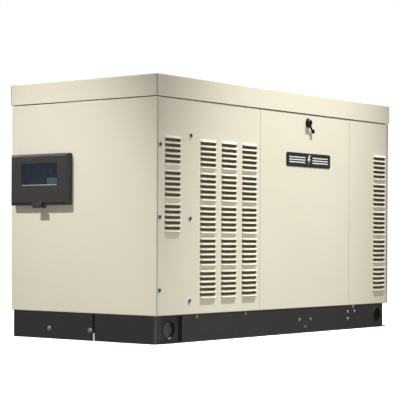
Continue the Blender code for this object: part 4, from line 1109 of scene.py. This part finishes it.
# Place along the side, height, radius and distance from the middle of the case, for each hole.
HOLES = ((-0.695, 0.046, 0.032, 0.343), (0.705, 0.053, 0.0285, 0.356))
end_plate = bmesh.new()
block(end_plate, END_PLATE_LOW, END_PLATE_HIGH)
bmesh.ops.bevel(end_plate, geom=list(end_plate.edges), offset=0.0008, segments=2, profile=0.5, affect="EDGES",
                material=-1)
new_piece("discharge_base_plate", end_plate, black_coat, "case", "black_paint")
for side_y, label in ((-1, "front"), (1, "rear")):
    lips = bmesh.new()
    lit_discs = bmesh.new()
    for x, z, radius, depth in HOLES:
        place = Vector((CASE_MIDDLE + x, side_y * (depth + 0.0002), z))
        lip = [(radius + 0.0002, 0.0), (radius + 0.0002, 0.0016), (radius + 0.0016, 0.0024),
               (radius + 0.0034, 0.0018), (radius + 0.0042, 0.0), (radius + 0.0002, 0.0)]
        turn(lips, lip, place, (0, side_y, 0), 36)
        if x < 0:
            # The grey disc stands for light on the black rail inside the hole.
            back = Vector((CASE_MIDDLE + x, side_y * LIT_DISC_FACE, z))
            disc = [(0, LIT_DISC_GAUGE), (radius + 0.003, LIT_DISC_GAUGE), (radius + 0.003, 0), (0, 0)]
            turn(lit_discs, disc, back, (0, side_y, 0), 32)
    for shape in (lips, lit_discs):
        bmesh.ops.remove_doubles(shape, verts=shape.verts, dist=1e-6)
        bmesh.ops.recalc_face_normals(shape, faces=shape.faces)
    new_piece(label + "_hole_lips", lips, black_coat, "case", "black_paint")
    new_piece(label + "_hole_lit_discs", lit_discs, HOLE_LIGHT_GREY, "case", "white_paint")
print("holes on a side", len(HOLES))

# %% [markdown]
# ## Radiator core
# Air passes between thin upright fins, and flat tubes run across them. A loop lays one plate for each fin
# and one for each tube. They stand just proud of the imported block, on the side where the air leaves.

# %% Build the fins and tubes
CORE_FACE = CASE_MIDDLE + 0.6150
CORE_HALF = 0.250
CORE_Z = (0.226, 0.792)
FIN_PITCH = 0.0060
FIN_GAUGE = 0.0008
TUBE_COUNT = 26
TUBE_PITCH = 0.0215
TUBE_HEIGHT = 0.0030
fins = bmesh.new()
for step in range(int(2 * CORE_HALF / FIN_PITCH)):
    y = -CORE_HALF + step * FIN_PITCH
    block(fins, (CORE_FACE, y, CORE_Z[0]), (CORE_FACE + 0.0025, y + FIN_GAUGE, CORE_Z[1]))
new_piece("radiator_fins", fins, cast_aluminium, "case", "cast_aluminium")
tubes = bmesh.new()
for step in range(TUBE_COUNT):
    z = CORE_Z[0] + 0.010 + step * TUBE_PITCH
    block(tubes, (CORE_FACE, -CORE_HALF, z), (CORE_FACE + 0.0014, CORE_HALF, z + TUBE_HEIGHT))
new_piece("radiator_tubes", tubes, cast_aluminium, "case", "cast_aluminium")
print("fins", int(2 * CORE_HALF / FIN_PITCH), "tubes", TUBE_COUNT)

# %% [markdown]
# ## Engine-bay fittings
# Worm-drive bands clamp the hose, a red and a black cap mark the battery posts, and screws hold the valve
# cover down.

# %% Build the fittings
BAND = [(0.0141, -0.005), (0.0154, -0.005), (0.0154, 0.005), (0.0141, 0.005), (0.0141, -0.005)]
BAND_PLACES = (((CASE_MIDDLE + 0.4075, 0.045, 0.572), (0, 0, 1)),
               ((CASE_MIDDLE + 0.553, 0.090, 0.822), (1, 0, 0)))
bands = bmesh.new()
for place, outward in BAND_PLACES:
    turn(bands, BAND, place, outward, 28)
bmesh.ops.remove_doubles(bands, verts=bands.verts, dist=1e-6)
bmesh.ops.recalc_face_normals(bands, faces=bands.faces)
new_piece("hose_bands", bands, zinc_plate, "case", "zinc_plate")
CAP = [(0, 0.010), (0.011, 0.010), (0.0135, 0.007), (0.0135, 0), (0, 0)]
POSTS = (("positive", -0.310, red_polycarbonate, "red_plastic"),
         ("negative", -0.460, black_nylon, "black_plastic"))
for label, x, material, slot in POSTS:
    post = (CASE_MIDDLE + x, 0.225, 0.3002)
    turned_set("battery_cap_" + label, CAP, [post], (0, 0, 1), material, "case", slot)
head_places = [(CASE_MIDDLE + x, y, 0.6602) for x in (0.12, 0.20, 0.28, 0.35) for y in (-0.040, 0.040)]
hex_set("valve_cover_screws", 0.010, 0.005, head_places, (0, 0, 1), zinc_plate, "case", "zinc_plate")
print("bands", len(BAND_PLACES), "caps", len(POSTS), "screws", len(head_places))
